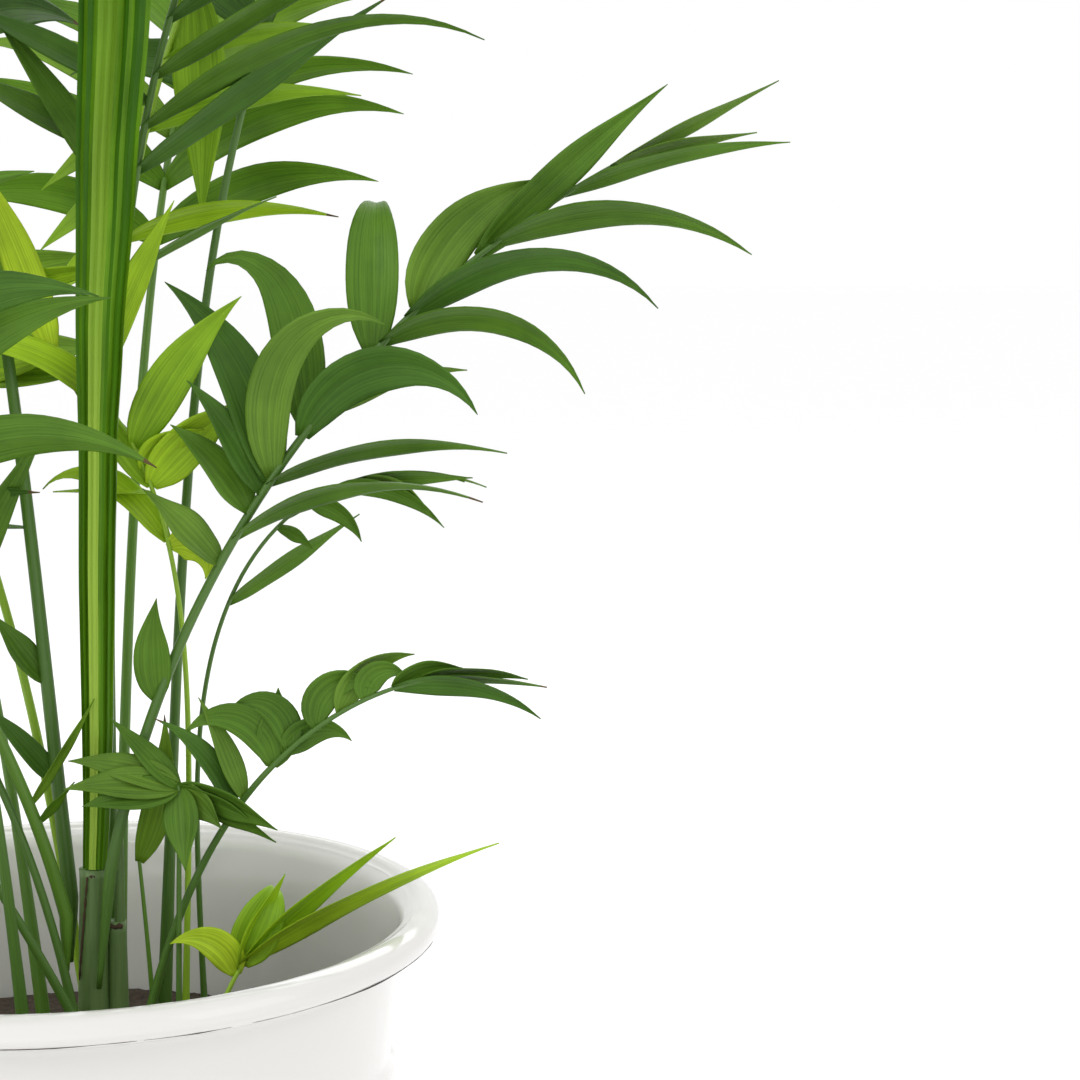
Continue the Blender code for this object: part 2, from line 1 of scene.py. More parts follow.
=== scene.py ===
"""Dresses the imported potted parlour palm: fine leaflets on every frond, pleated spear, glazed pot and soil.

The origin is the centre of the pot's flat underside, and the picture looks along +Y. Sizes of the plant
and the pot are in millimetres, and those of the stage in metres. The frond table and the rules that read
it match the part's source, so that every leaflet starts where its solid one does.
"""

import math
import random

import bmesh
import bpy
from mathutils import Matrix, Vector, noise
from mathutils.bvhtree import BVHTree


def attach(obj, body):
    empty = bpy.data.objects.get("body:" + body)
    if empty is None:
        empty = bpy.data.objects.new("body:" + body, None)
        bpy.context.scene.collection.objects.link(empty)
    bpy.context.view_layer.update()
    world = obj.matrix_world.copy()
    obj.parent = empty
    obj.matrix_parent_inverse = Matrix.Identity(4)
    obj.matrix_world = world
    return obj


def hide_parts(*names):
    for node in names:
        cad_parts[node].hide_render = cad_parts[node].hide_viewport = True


bl_info = {
    "name": "Potted parlour palm",
    "version": (1, 0, 0),
    "blender": (4, 5, 0),
    "location": "View3D > Sidebar > Palm",
    "description": "Builds the pot, soil, canes, spear and fronds of a young parlour palm",
    "category": "Add Mesh",
}

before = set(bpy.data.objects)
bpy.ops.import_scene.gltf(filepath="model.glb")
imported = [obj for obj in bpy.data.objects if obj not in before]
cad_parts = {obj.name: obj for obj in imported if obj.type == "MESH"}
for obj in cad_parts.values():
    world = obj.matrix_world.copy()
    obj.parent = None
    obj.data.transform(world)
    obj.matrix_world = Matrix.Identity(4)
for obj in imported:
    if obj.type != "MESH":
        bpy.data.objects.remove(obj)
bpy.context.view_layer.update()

MM = 0.001
TO_MM = 1000.0
BODY = "root"

# Pot
POT_HEIGHT = 235.0
LIP_RADIUS = 133.8
MOUTH_RADIUS = 122.0
WALL_TOP_RADIUS = 119.5
BEAD_RADIUS = 117.2
BEAD_DROP = 63.0
BASE_RADIUS = 95.0
FOOT_RADIUS = 98.0
INNER_TOP_RADIUS = 116.0
INNER_BASE_RADIUS = 88.0
POT_FLOOR = 9.0
POT_SIDES = 160
POT_STEP = 9.0
POT_WOBBLE = 0.16

# Painted shadow in the seam under the lip: a thin, uneven dark ring
SEAM_RADIUS = 132.3
SEAM_POINTS = 240
SEAM_SIDES = 5
SEAM_THIN = 0.13
SEAM_SWELL = 0.24

# Soil
SOIL_TOP = 174.0
SOIL_RADIUS = 109.0
SOIL_RINGS = 60
SOIL_SIDES = 160
SOIL_SINK = 30.0

# Canes
CANE_RADIUS = 5.4
CANE_TOP = 248.0
CANE_AT = (8.0, 0.0)
CANE_SHIFT = 1.7
SIDE_CANE_RADIUS = 3.9
SIDE_CANE_TOP = 228.0
SIDE_CANE_AT = (17.0, 3.0)
SIDE_SHEATH_RADIUS = 2.2
CANE_ROOT = SOIL_TOP - 1.5
CANE_STEPS = 24
SIDE_CANE_STEPS = 14
SHEATH_STEPS = 8
SHEATH_LENGTH = 42.0
TORN_STEPS = 16

# Spear: the folded newest leaf, as (height, centre x, half width, half depth)
SPEAR = (
    (248.4, 10.5, 4.3, 4.2), (270.0, 11.6, 4.8, 4.4), (300.0, 12.6, 5.6, 4.8), (350.0, 13.4, 6.4, 5.0),
    (400.0, 14.8, 6.8, 5.0), (435.0, 16.2, 8.4, 5.0), (490.0, 19.6, 10.6, 5.0), (553.0, 24.0, 12.6, 4.8),
    (610.0, 28.2, 12.8, 4.4), (660.0, 32.0, 10.4, 3.8), (705.0, 35.6, 6.4, 2.8), (748.0, 39.0, 1.2, 1.2),
)
SPEAR_FOLDS = 7
SPEAR_LAYERS = 70

# Stripe of each fold's side (0 dark, 1 green, 2 pale), and where the pale ones turn green and the dark darken
SPEAR_STRIPES = (0, 1, 0, 1, 2, 2, 2, 2, 1, 0, 1, 0, 0, 1)
PALE_SPAN = (330.0, 640.0)
DARK_SPAN = (300.0, 560.0)

# Leaflets
LEAF_KEEL = 0.26
LEAF_MIN_THICK = 0.9
LEAF_THICK_SHARE = 0.011
POSED_RINGS = 4
RULE_RINGS = 3
STALK_SIDES = 5
STALK_RINGS = 7
SWING_STEPS = (0.0, 5.0, -5.0, 10.0, -10.0, 16.0)
GUARD = 0.45
END_SHARE = 0.993
TIP_TAPER = 0.30
TIP_HALF = 0.12
RIB_WAVES = 5.0
STALK_FINE_STEPS = 56
STALK_FINE_SIDES = 12
HEEL_STEPS = 6

# One unit along a skin, in mm on leaflets and the spear and in metres on stems
LEAF_RUN = 60.0
STEM_RUN = 0.05

# How far a leaflet's outer part may move to pass a neighbour: up its face and sideways, in mm
TIP_BENDS = ((0, 0), (2, 0), (-2, 0), (0, 3), (0, -3), (4, 0), (-4, 0), (0, 6), (0, -6), (7, 0), (-7, 0),
             (7, 6), (-7, -6), (7, -6), (-7, 6), (0, 10), (0, -10), (11, 0), (-11, 0), (11, 10), (-11, -10))

# Fronds with many dry tips, and how often a leaflet's tip is dry there and elsewhere
DRY_FRONDS = ("seedling_single", "frond_left_high")
DRY_OFTEN = 0.30
DRY_SELDOM = 0.06

LEAF_DARK = "leaf_dark"
LEAF_BRIGHT = "leaf_bright"
LEAF_MID = "leaf_mid"

# Where the picture was taken from
CAMERA_AT = (0.1693, -0.8389, 0.4643)
CAMERA_DOWN = 6.67
CAMERA_LENS = 80.0
CAMERA_SENSOR = 36.0

# Soft lights, as (name, place, watts, side), all turned to the plant's middle
LIGHTS = (
    ("key", (-1.4, -1.7, 2.2), 24.0, 1.6),
    ("fill", (1.9, -1.0, 1.3), 4.0, 1.4),
    ("back", (0.4, 1.7, 1.9), 14.0, 1.8),
)
LIT_POINT = (0.0, 0.0, 0.40)
FLOOR_NEAR = -12.0
FLOOR_FAR = 40.0
FLOOR_HALF = 26.0
FLOOR_SHADE = 0.85
FLOOR_GLOW = 0.13
WHITE = (1.0, 1.0, 1.0, 1.0)

FRONDS = {
    "frond_right": dict(
        foot=(17, -8, 248), heel=(12.0, -7.35, 206.0), way=14, lean=11, sweep=51, ease=1.0, length=322,
        thick=(2.3, 1.1), slot=LEAF_DARK, posed=(
            (.20, 100, -10, 38, -24, 13, 10, 1), (.365, 128, -8, 38, 12, 14, 50, 1),
            (.43, 116, -5, 42, 30, 15, 45, 1), (.455, 110, -8, 48, 24, 15, 45, 1),
            (.47, 96, 4, 82, 48, 19, 20, 1.2), (.475, 97, -12, 88, -128, 16, 10, 1.8),
            (.54, 96, 8, 84, 140, 18, 8, 3.5), (.65, 90, 6, 80, "back", 19, 0, 3),
            (.72, 77, 8, 68, -62, 19, 10, 1), (.81, 47, 5, 92, -10, 14, 25, 1),
            (.465, 29, -6, 88, -42, 13, 60, 1), (.395, 39, -6, 94, -60, 14, 62, 1),
            (.555, 40, 8, 58, -45, 12, 50, 1), (.53, 66, -14, 82, -128, 18, 20, 1.2),
            (.665, 32, -10, 86, -100, 14, 48, 1.2), (.705, 38, -6, 100, -90, 14, 40, 1.5),
            (.83, 27, -4, 98, -64, 14, 50, 1.2), (.93, 25, 0, 84, -24, 9, 50, 1),
            (1, 28, 2, 68, -2, 8, 55, 1), (1, 20, -2, 54, -14, 9, 50, 1))),
    "frond_bright": dict(
        foot=(39, 14, 174.4), way=180, lean=-2, sweep=60, ease=4.0, length=272,
        thick=(1.3, 0.9), slot=LEAF_BRIGHT, posed=(
            (.635, 30, -28, 82, -34, 11, 60, 1), (.69, 48, 10, 24, -165, 12, 10, .8),
            (.705, 38, -25, 88, -44, 15, 45, 1), (.775, 54, -20, 46, -24, 17, 20, 1),
            (.80, 95, -10, 28, -85, 12, 35, .35), (.83, 64, -8, 70, -26, 16, 15, 1.3),
            (.93, 68, -2, 72, -8, 13, 30, 1), (.89, 124, -12, 74, 72, 13, 45, 1),
            (.70, 126, 6, 56, 105, 12, 45, 2.2), (.765, 176, 0, 36, 6, 9, 80, 1),
            (.775, 124, 6, 46, 10, 12, 35, 1), (1, 107, 2, 76, 8, 14, 25, 1),
            (.955, 180, 6, 76, 4, 14, 35, 1), (1, 192, -4, 74, 0, 15, 35, 1))),
    "frond_upper": dict(
        foot=(13, 20, 174.4), way=20, veer=-10, lean=0, sweep=62, ease=3.2, length=568,
        thick=(2.2, 1.0), slot=LEAF_DARK, rule=(.69, 9), reach=112, wide=14, posed=(
            (.50, 34, 0, 62, -14, 8, 70, 1), (.541, 122, 0, 88, 4, 13, 35, 1),
            (.57, 150, 4, 84, 6, 12, 40, 1), (.566, 37, 4, 112, -6, 12, 48, 1.4),
            (.594, 34, -6, 132, -62, 11, 52, 2), (.609, 146, -4, 80, 14, 12, 45, 1),
            (.626, 32, -6, 112, -10, 11, 50, 1.5), (.662, 36, -10, 112, -40, 11, 50, 1.5))),
    "frond_pale": dict(
        foot=(3, 24, 174.4), way=102, veer=-104, lean=6, sweep=48, ease=3.8, length=525,
        thick=(2.0, 1.0), slot=LEAF_BRIGHT, rule=(.79, 6), reach=92, wide=14, posed=(
            (.575, 214, 4, 44, 8, 13, 40, 1), (.57, 28, 4, 82, -42, 12, 50, 1),
            (.62, 214, 4, 48, 8, 13, 40, 1), (.65, 28, 4, 82, -38, 13, 50, 1),
            (.665, 212, 4, 52, 6, 13, 40, 1), (.76, -84, -4, 88, -8, 20, 0, 1),
            (.70, 26, 6, 72, -32, 12, 55, 1))),
    "frond_small": dict(
        foot=(45, 28, 174.4), way=2, lean=-2, sweep=84, ease=3.4, length=238,
        thick=(1.2, 0.8), slot=LEAF_DARK, posed=(
            (.70, 36, 4, 58, -4, 9, 45, 1), (.84, -10, -8, 16, -40, 7, 40, 1),
            (.90, 0, -6, 26, -70, 9, 30, 1), (.95, 24, 4, 48, -44, 5, 70, 1),
            (.95, 10, -4, 44, -60, 8, 30, 1), (1, 16, 4, 46, -40, 5, 60, 1),
            (1, 4, 0, 40, -6, 8, 40, 1), (1, -6, -6, 30, -44, 9, 30, 1),
            (.86, 40, 4, 30, -30, 6, 60, 1))),
    "seedling_right": dict(
        foot=(24, -6, 174.4), way=-8, lean=14, sweep=64, ease=1.8, length=192,
        thick=(1.8, 0.9), slot=LEAF_DARK, posed=(
            (.575, 106, -6, 40, 12, 9, 40, 1), (.545, 104, -12, 46, 50, 9, 40, 1.2),
            (.66, 98, -4, 42, 135, 12, 10, 1.2), (.655, 80, 4, 28, 10, 14, 10, 1),
            (.70, 80, 2, 34, 150, 11, 10, 1.2), (.69, 60, 4, 28, -110, 11, 10, 1.2),
            (.77, 108, -4, 34, -150, 12, 10, 1), (.875, 104, -2, 22, -150, 10, 10, 1),
            (.82, 78, 2, 36, -80, 11, 30, 1), (.93, 44, 2, 26, -56, 9, 30, 1),
            (.97, 18, 2, 40, -34, 9, 50, 1), (1, 4, 0, 42, -16, 8, 60, 1),
            (.93, 10, -6, 54, -50, 11, 45, 1.4))),
    "seedling_palmate": dict(
        foot=(41, -14, 174.4), way=0, lean=1, sweep=0, ease=1.0, length=107,
        thick=(1.2, 1.0), slot=LEAF_DARK, posed=(
            (1, 132, 4, 34, 6, 9, 40, 1), (1, 150, -6, 40, 30, 11, 30, 1),
            (1, 166, -14, 40, 24, 12, 30, 1), (1, 184, -18, 34, 8, 12, 25, 1),
            (1, -82, -26, 30, 0, 13, 10, 1), (1, -30, -20, 22, -20, 11, 20, 1),
            (1, -12, -14, 40, -14, 13, 30, 1), (1, -22, -8, 40, -10, 12, 40, 1),
            (1, 8, 4, 42, -12, 10, 50, 1))),
    "seedling_bright": dict(
        foot=(48, -14, 174.4), way=20, lean=12, sweep=20, ease=1.0, length=44,
        thick=(1.3, 1.0), slot=LEAF_BRIGHT, posed=(
            (.9, 98, -6, 32, 110, 12, 20, 1.2), (.95, 70, 4, 38, -12, 11, 55, 1),
            (1, 66, -6, 38, "back", 17, 0, 3), (1, 46, 0, 72, -12, 12, 50, 1),
            (1, 36, -6, 104, -18, 14, 50, 1))),
    "seedling_single": dict(
        foot=(31, 2, 174.4), way=180, lean=3, sweep=2, ease=1.0, length=76,
        thick=(1.0, 0.9), slot=LEAF_MID, posed=(
            (1, 66, -4, 56, 26, 11, 15, 1),)),
    "frond_left_high": dict(
        foot=(0, 6, 236), heel=(-0.6, 5.6, 212), way=172, lean=5, sweep=82, ease=3.6, length=560,
        thick=(2.9, 1.2), slot=LEAF_DARK, rule=(.50, 10), reach=110, wide=18, posed=(
            (.075, 126, -10, 38, 6, 9, 40, 1), (.14, 124, -6, 32, 4, 10, 40, 1),
            (.24, 178, -4, 30, 2, 6, 85, 1))),
    "frond_left_back": dict(
        foot=(2, 16, 200), heel=(2, 16, 174.4), way=166, lean=9, sweep=66, ease=2.0, length=450,
        thick=(2.1, 1.0), slot=LEAF_BRIGHT, rule=(.56, 10), reach=94, wide=16, posed=(
            (.53, 44, -8, 92, -46, 13, 35, 1),)),
    "frond_left_low": dict(
        foot=(14, -12, 174.4), way=204, lean=24, sweep=52, ease=1.6, length=320,
        thick=(1.8, 0.9), slot=LEAF_DARK, rule=(.50, 9), reach=82, wide=15, posed=()),
    "frond_left_mid": dict(
        foot=(7, -9.6, 174.4), way=184, lean=8, sweep=58, ease=1.2, length=350,
        thick=(1.7, 0.9), slot=LEAF_DARK, rule=(.52, 9), reach=88, wide=16, posed=(
            (.60, 34, -6, 74, -38, 14, 40, 1), (.47, 62, -8, 92, -6, 16, 35, 1))),
    "frond_left_front": dict(
        foot=(0.6, -5.4, 232), heel=(0.2, -5.2, 212), way=214, lean=14, sweep=52, ease=1.0, length=360,
        thick=(2.6, 1.0), slot=LEAF_MID, rule=(.42, 8), reach=90, wide=17, posed=(
            (.12, 57, 14, 44, 4, 6, 60, 1), (.10, 48, 8, 20, 0, 6, 60, 1))),
    "seedling_left": dict(
        foot=(-30, -22, 174.4), way=190, lean=2, sweep=10, ease=1.0, length=96,
        thick=(1.3, 1.0), slot=LEAF_DARK, posed=(
            (.95, 22, -4, 46, -72, 12, 30, 1), (1, 84, 0, 50, 10, 12, 10, 1),
            (1, 150, 6, 48, 30, 12, 30, 1), (.97, 190, -20, 44, 40, 12, 30, 1),
            (1, 120, 20, 46, 20, 12, 30, 1))),
    "crown_back": dict(
        foot=(10, 40, 174.4), way=84, lean=8, sweep=76, ease=2.2, length=560,
        thick=(2.4, 1.1), slot=LEAF_MID, rule=(.55, 10), reach=108, wide=17, posed=()),
    "crown_back_right": dict(
        foot=(28, 34, 174.4), way=52, lean=4, sweep=80, ease=3.2, length=570,
        thick=(2.3, 1.0), slot=LEAF_DARK, rule=(.62, 8), reach=100, wide=16, posed=()),
    "crown_back_left": dict(
        foot=(-16, 34, 174.4), way=132, lean=12, sweep=74, ease=1.8, length=500,
        thick=(2.3, 1.0), slot=LEAF_MID, rule=(.50, 9), reach=104, wide=17, posed=()),
    "crown_left": dict(
        foot=(-26, 8, 174.4), way=158, lean=16, sweep=76, ease=1.5, length=410,
        thick=(2.1, 1.0), slot=LEAF_BRIGHT, rule=(.46, 8), reach=98, wide=17, posed=()),
    "crown_front": dict(
        foot=(-8, -30, 174.4), way=248, lean=8, sweep=74, ease=2.2, length=440,
        thick=(2.2, 1.0), slot=LEAF_DARK, rule=(.52, 10), reach=94, wide=16, posed=()),
    "crown_front_left": dict(
        foot=(-24, -12, 174.4), way=226, lean=10, sweep=78, ease=2.0, length=500,
        thick=(2.3, 1.0), slot=LEAF_MID, rule=(.50, 9), reach=104, wide=17, posed=()),
}


def vec(x, y, z):
    """A point in metres from millimetres."""
    return Vector((x, y, z)) * MM


def pot_profile():
    """The pot's cut edge as (radius, height), from the middle inside, over the lip, to the middle below."""
    top = POT_HEIGHT
    rows = [(0.0, POT_FLOOR), (INNER_BASE_RADIUS, POT_FLOOR), (INNER_TOP_RADIUS - 4.0, 150.0),
            (INNER_TOP_RADIUS, top - 22.0), (MOUTH_RADIUS - 3.2, top - 8.0), (MOUTH_RADIUS, top - 2.2)]
    for k in range(7):
        a = math.radians(150.0 - 25.0 * k)
        mid = (MOUTH_RADIUS + LIP_RADIUS) / 2.0
        half = (LIP_RADIUS - MOUTH_RADIUS) / 2.0
        rows.append((mid + half * math.cos(a), top - 5.6 + 5.6 * math.sin(a)))
    rows += [(LIP_RADIUS, top - 7.4), (LIP_RADIUS - 1.6, top - 9.6), (LIP_RADIUS - 5.0, top - 11.2),
             (WALL_TOP_RADIUS + 0.8, top - 13.6), (WALL_TOP_RADIUS, top - 17.0),
             (118.1, top - 31.0), (116.5, top - 44.0), (115.3, top - 53.4)]
    for k in range(5):
        a = math.radians(72.0 - 36.0 * k)
        rows.append((BEAD_RADIUS - 3.0 + 3.0 * math.cos(a), top - BEAD_DROP + 7.0 * math.sin(a)))
    rows += [(115.0, top - 72.0), (108.0, 100.0), (100.5, 50.0), (BASE_RADIUS, 14.0),
             (FOOT_RADIUS - 1.0, 9.0), (FOOT_RADIUS, 5.0), (FOOT_RADIUS - 1.6, 0.0), (0.0, 0.0)]
    return rows


def ring_faces(rings, sides, first=0):
    """Faces between rings of points laid one after the other."""
    faces = []
    for i in range(rings - 1):
        for j in range(sides):
            a, b = first + i * sides + j, first + i * sides + (j + 1) % sides
            faces.append((a, b, b + sides, a + sides))
    return faces


def tube(points, radii, sides):
    """A closed tube through the points; the ends are flat."""
    verts, side = [], None
    for i, p in enumerate(points):
        d = (points[min(i + 1, len(points) - 1)] - points[max(i - 1, 0)]).normalized()
        if side is None:
            side = d.cross(Vector((0, 1, 0)))
            if side.length < 0.1:
                side = d.cross(Vector((1, 0, 0)))
        side = (side - d * side.dot(d)).normalized()
        other = d.cross(side)
        for j in range(sides):
            a = 2.0 * math.pi * j / sides
            verts.append(p + (side * math.cos(a) + other * math.sin(a)) * radii[i])
    faces = ring_faces(len(points), sides)
    faces.append(tuple(range(sides - 1, -1, -1)))
    last = (len(points) - 1) * sides
    faces.append(tuple(range(last, last + sides)))
    return verts, faces


def stalk_points(f, count=48):
    """The stalk's centre line from its foot, as count + 1 points."""
    rise = 0.0 if "heel" in f else f["thick"][0] * abs(math.sin(math.radians(f["lean"])))
    x, y, z = f["foot"]
    points = [vec(x, y, z + rise)]
    for i in range(count):
        s = (i + 0.5) / count
        tilt = math.radians(f["lean"] + f["sweep"] * s ** f["ease"])
        way = math.radians(f["way"] + f.get("veer", 0.0) * s)
        d = Vector((math.sin(tilt) * math.cos(way), math.sin(tilt) * math.sin(way), math.cos(tilt)))
        points.append(points[-1] + d * (f["length"] * MM / count))
    return points


def along(points, share):
    """The point and the heading at a share of the line."""
    x = share * (len(points) - 1)
    i = min(int(x), len(points) - 2)
    return points[i].lerp(points[i + 1], x - i), (points[i + 1] - points[i]).normalized()


def half_width(s):
    """Leaflet outline: widest near a third of its length, narrow where it joins the rib."""
    peak = 0.355 ** 0.55 * 0.645
    full = max(s, 1e-6) ** 0.55 * (1.0 - s) / peak
    return max(full, 0.30 * (1.0 - s) ** 2)


def leaf(start, first, axis, turn, late, across, length, width):
    """One leaflet as plain numbers: where it starts, how it heads and bends, and its size in mm."""
    return dict(start=start, first=first, axis=axis, turn=turn, late=late, across=across,
                length=length, width=width)


def posed_leaf(points, row, swing=0.0):
    """A leaflet that the picture shows, from its own row of the table."""
    share, heading, away, length, turn, width, face, late = row
    start, _ = along(points, min(share, END_SHARE))
    h, a = math.radians(heading), math.radians(away + swing)
    first = Vector((math.cos(h) * math.cos(a), math.sin(a), math.sin(h) * math.cos(a)))
    flat = Vector((-math.sin(h), 0.0, math.cos(h)))
    deep = first.cross(flat)
    f = math.radians(face)
    across = flat * math.cos(f) + deep * math.sin(f)
    axis, angle = Vector((0, -1, 0)), math.radians(0.0 if turn == "back" else turn)
    if turn == "back":
        axis, angle = -flat, math.radians(-150.0)
    return leaf(start, first, axis, angle, late, across, length, width)


def rule_leaves(name, f, points, swing=0.0):
    """Leaflets in pairs along the rest of the rib, longest in the middle and hanging by their weight."""
    begin, pairs = f["rule"]
    rng = random.Random(name)
    rows = []
    for i in range(pairs + 1):
        t = i / pairs
        share = begin + (1.0 - begin) * t
        start, d = along(points, min(share, 1.0))
        side = d.cross(Vector((0, 0, 1))).normalized()
        up = side.cross(d).normalized()
        for sign in (-1, 1):
            splay = math.radians(62.0 - 44.0 * t + rng.uniform(-5, 5))
            lift = math.radians(26.0 + rng.uniform(-10, 10) + swing)
            droop = math.radians(34.0 + 22.0 * (1.0 - t) + rng.uniform(-12, 14))
            size = 0.62 + 0.38 * math.sin(math.pi * min(1.0, 0.22 + 0.80 * t) ** 0.9)
            length = f["reach"] * size * rng.uniform(0.93, 1.07)
            width = f["wide"] * (0.72 + 0.28 * size) * (1.0 - 0.30 * t) * rng.uniform(0.92, 1.08)
            out = side * sign * math.cos(lift) + up * math.sin(lift)
            first = (d * math.cos(splay) + out * math.sin(splay)).normalized()
            axis = first.cross(Vector((0, 0, -1)))
            if axis.length < 0.05:
                axis = side.copy()
            axis.normalize()
            across = up.cross(first).normalized()
            rows.append(leaf(start, first, axis, droop, 1.15, across, length, width))
    return rows


def leaf_frames(row, count):
    """Points, across and normal directions at even steps along a leaflet."""
    points, frames = [row["start"].copy()], []
    steps = 24
    for i in range(steps):
        s = (i + 0.5) / steps
        spin = Matrix.Rotation(row["turn"] * s ** row["late"], 3, row["axis"])
        points.append(points[-1] + (spin @ row["first"]) * (row["length"] * MM / steps))
    for k in range(count + 1):
        s = k / count
        spin = Matrix.Rotation(row["turn"] * s ** row["late"], 3, row["axis"])
        p, _ = along(points, s)
        across = spin @ row["across"]
        normal = (spin @ row["first"]).cross(across).normalized()
        frames.append((s, p, across.normalized(), normal))
    return frames


def guard_blade(row, rings):
    """The solid leaflet grown by GUARD all round, which tells whether it would touch a neighbour."""
    thick = max(LEAF_MIN_THICK, LEAF_THICK_SHARE * row["length"]) + 2.0 * GUARD
    verts = []
    frames = leaf_frames(row, rings)
    for s, p, across, normal in frames[:-1]:
        half = half_width(s) * row["width"] / 2.0
        keel = LEAF_KEEL * half
        verts += [p + across * (half + GUARD) * MM + normal * (keel * 0.5 + GUARD) * MM,
                  p - across * (half + GUARD) * MM + normal * (keel * 0.5 + GUARD) * MM,
                  p - normal * (thick + keel * 0.5) * MM]
    faces = ring_faces(rings, 3)
    faces.append((2, 1, 0))
    verts.append(frames[-1][1])
    tip, last = len(verts) - 1, (rings - 1) * 3
    for j in range(3):
        faces.append((last + j, last + (j + 1) % 3, tip))
    return verts, faces


def stalk_tube(f, points):
    """The coarse stalk that the solids have, as its line and its thickness."""
    path = list(points[::max(1, len(points) // STALK_RINGS)])
    if (path[-1] - points[-1]).length > 1e-6:
        path.append(points[-1])
    if "heel" in f:
        path.insert(0, vec(*f["heel"]))
    thick = [(f["thick"][0] + (f["thick"][1] - f["thick"][0]) * i / (len(path) - 1)) * MM
             for i in range(len(path))]
    return path, thick


def box_of(verts):
    """The lowest and the highest corner of a shape's box."""
    return [min(v[i] for v in verts) for i in range(3)], [max(v[i] for v in verts) for i in range(3)]


class Ground:
    """Keeps the shapes already placed, by node, and tells whether a new one would touch them."""

    def __init__(self):
        self.trees = []

    def add(self, owner, verts, faces):
        self.trees.append((owner, *box_of(verts), BVHTree.FromPolygons(verts, faces)))

    def touches(self, owner, verts, faces):
        low, high = box_of(verts)
        tree = None
        for other, lo, hi, built in self.trees:
            if other == owner or any(low[i] > hi[i] or high[i] < lo[i] for i in range(3)):
                continue
            tree = tree or BVHTree.FromPolygons(verts, faces)
            if tree.overlap(built):
                return True
        return False


def place_leaves(ground):
    """Each frond's line and leaflets; a leaflet that would touch a neighbour swings or is left out."""
    lines = {name: stalk_points(f) for name, f in FRONDS.items()}
    for name, f in FRONDS.items():
        path, thick = stalk_tube(f, lines[name])
        ground.add(name, *tube(path, [t + GUARD * MM for t in thick], STALK_SIDES))
    kept = {name: [] for name in FRONDS}
    for stage in ("posed", "rule"):
        for name, f in FRONDS.items():
            if not f.get(stage):
                continue
            if stage == "posed":
                rings = POSED_RINGS
                tries = [[posed_leaf(lines[name], r, w) for r in f["posed"]] for w in SWING_STEPS]
            else:
                rings = RULE_RINGS
                tries = [rule_leaves(name, f, lines[name], w) for w in SWING_STEPS]
            for rows in zip(*tries):
                for row in rows:
                    verts, faces = guard_blade(row, rings)
                    if not ground.touches(name, verts, faces):
                        ground.add(name, verts, faces)
                        kept[name].append(row)
                        break
    return lines, kept


def smooth(a, b, x):
    """0 at a, 1 at b, and an even rise between them."""
    t = min(1.0, max(0.0, (x - a) / (b - a)))
    return t * t * (3.0 - 2.0 * t)


def shader_of(name):
    """A new material with its node tree and its main shader."""
    mat = bpy.data.materials.new(name)
    mat.use_nodes = True
    tree = mat.node_tree
    return mat, tree, tree.nodes["Principled BSDF"]


def shade(colour, share):
    """A colour made darker or lighter by a share, with its alpha."""
    return tuple(min(1.0, c * share) for c in colour) + (1.0,)


def mixed(tree, factor, low, high):
    """A ramp from one colour to the other along the factor."""
    ramp = tree.nodes.new("ShaderNodeValToRGB")
    ramp.color_ramp.elements[0].color = low
    ramp.color_ramp.elements[1].color = high
    tree.links.new(factor, ramp.inputs["Fac"])
    return ramp


def noise_of(tree, scale, detail, stretch=None):
    """Noise through the object, or drawn out along its skin where stretch is given."""
    node = tree.nodes.new("ShaderNodeTexNoise")
    node.inputs["Scale"].default_value = scale
    node.inputs["Detail"].default_value = detail
    coords = tree.nodes.new("ShaderNodeTexCoord")
    if stretch:
        mapping = tree.nodes.new("ShaderNodeMapping")
        mapping.inputs["Scale"].default_value = stretch
        tree.links.new(coords.outputs["UV"], mapping.inputs["Vector"])
        tree.links.new(mapping.outputs["Vector"], node.inputs["Vector"])
    else:
        tree.links.new(coords.outputs["Object"], node.inputs["Vector"])
    return node


def bumped(tree, shader, height, strength, distance):
    """Fine relief on a shader, deeper where height is larger."""
    bump = tree.nodes.new("ShaderNodeBump")
    bump.inputs["Strength"].default_value = strength
    bump.inputs["Distance"].default_value = distance
    tree.links.new(height, bump.inputs["Height"])
    tree.links.new(bump.outputs["Normal"], shader.inputs["Normal"])


def grained(name, colour, dark, light, rough, *grain):
    """A material that runs between two shades of its colour along a grain, which comes back with it."""
    mat, tree, shader = shader_of(name)
    node = noise_of(tree, *grain)
    ramp = mixed(tree, node.outputs["Fac"], shade(colour, dark), shade(colour, light))
    tree.links.new(ramp.outputs["Color"], shader.inputs["Base Color"])
    shader.inputs["Roughness"].default_value = rough
    return mat, tree, shader, node.outputs["Fac"]


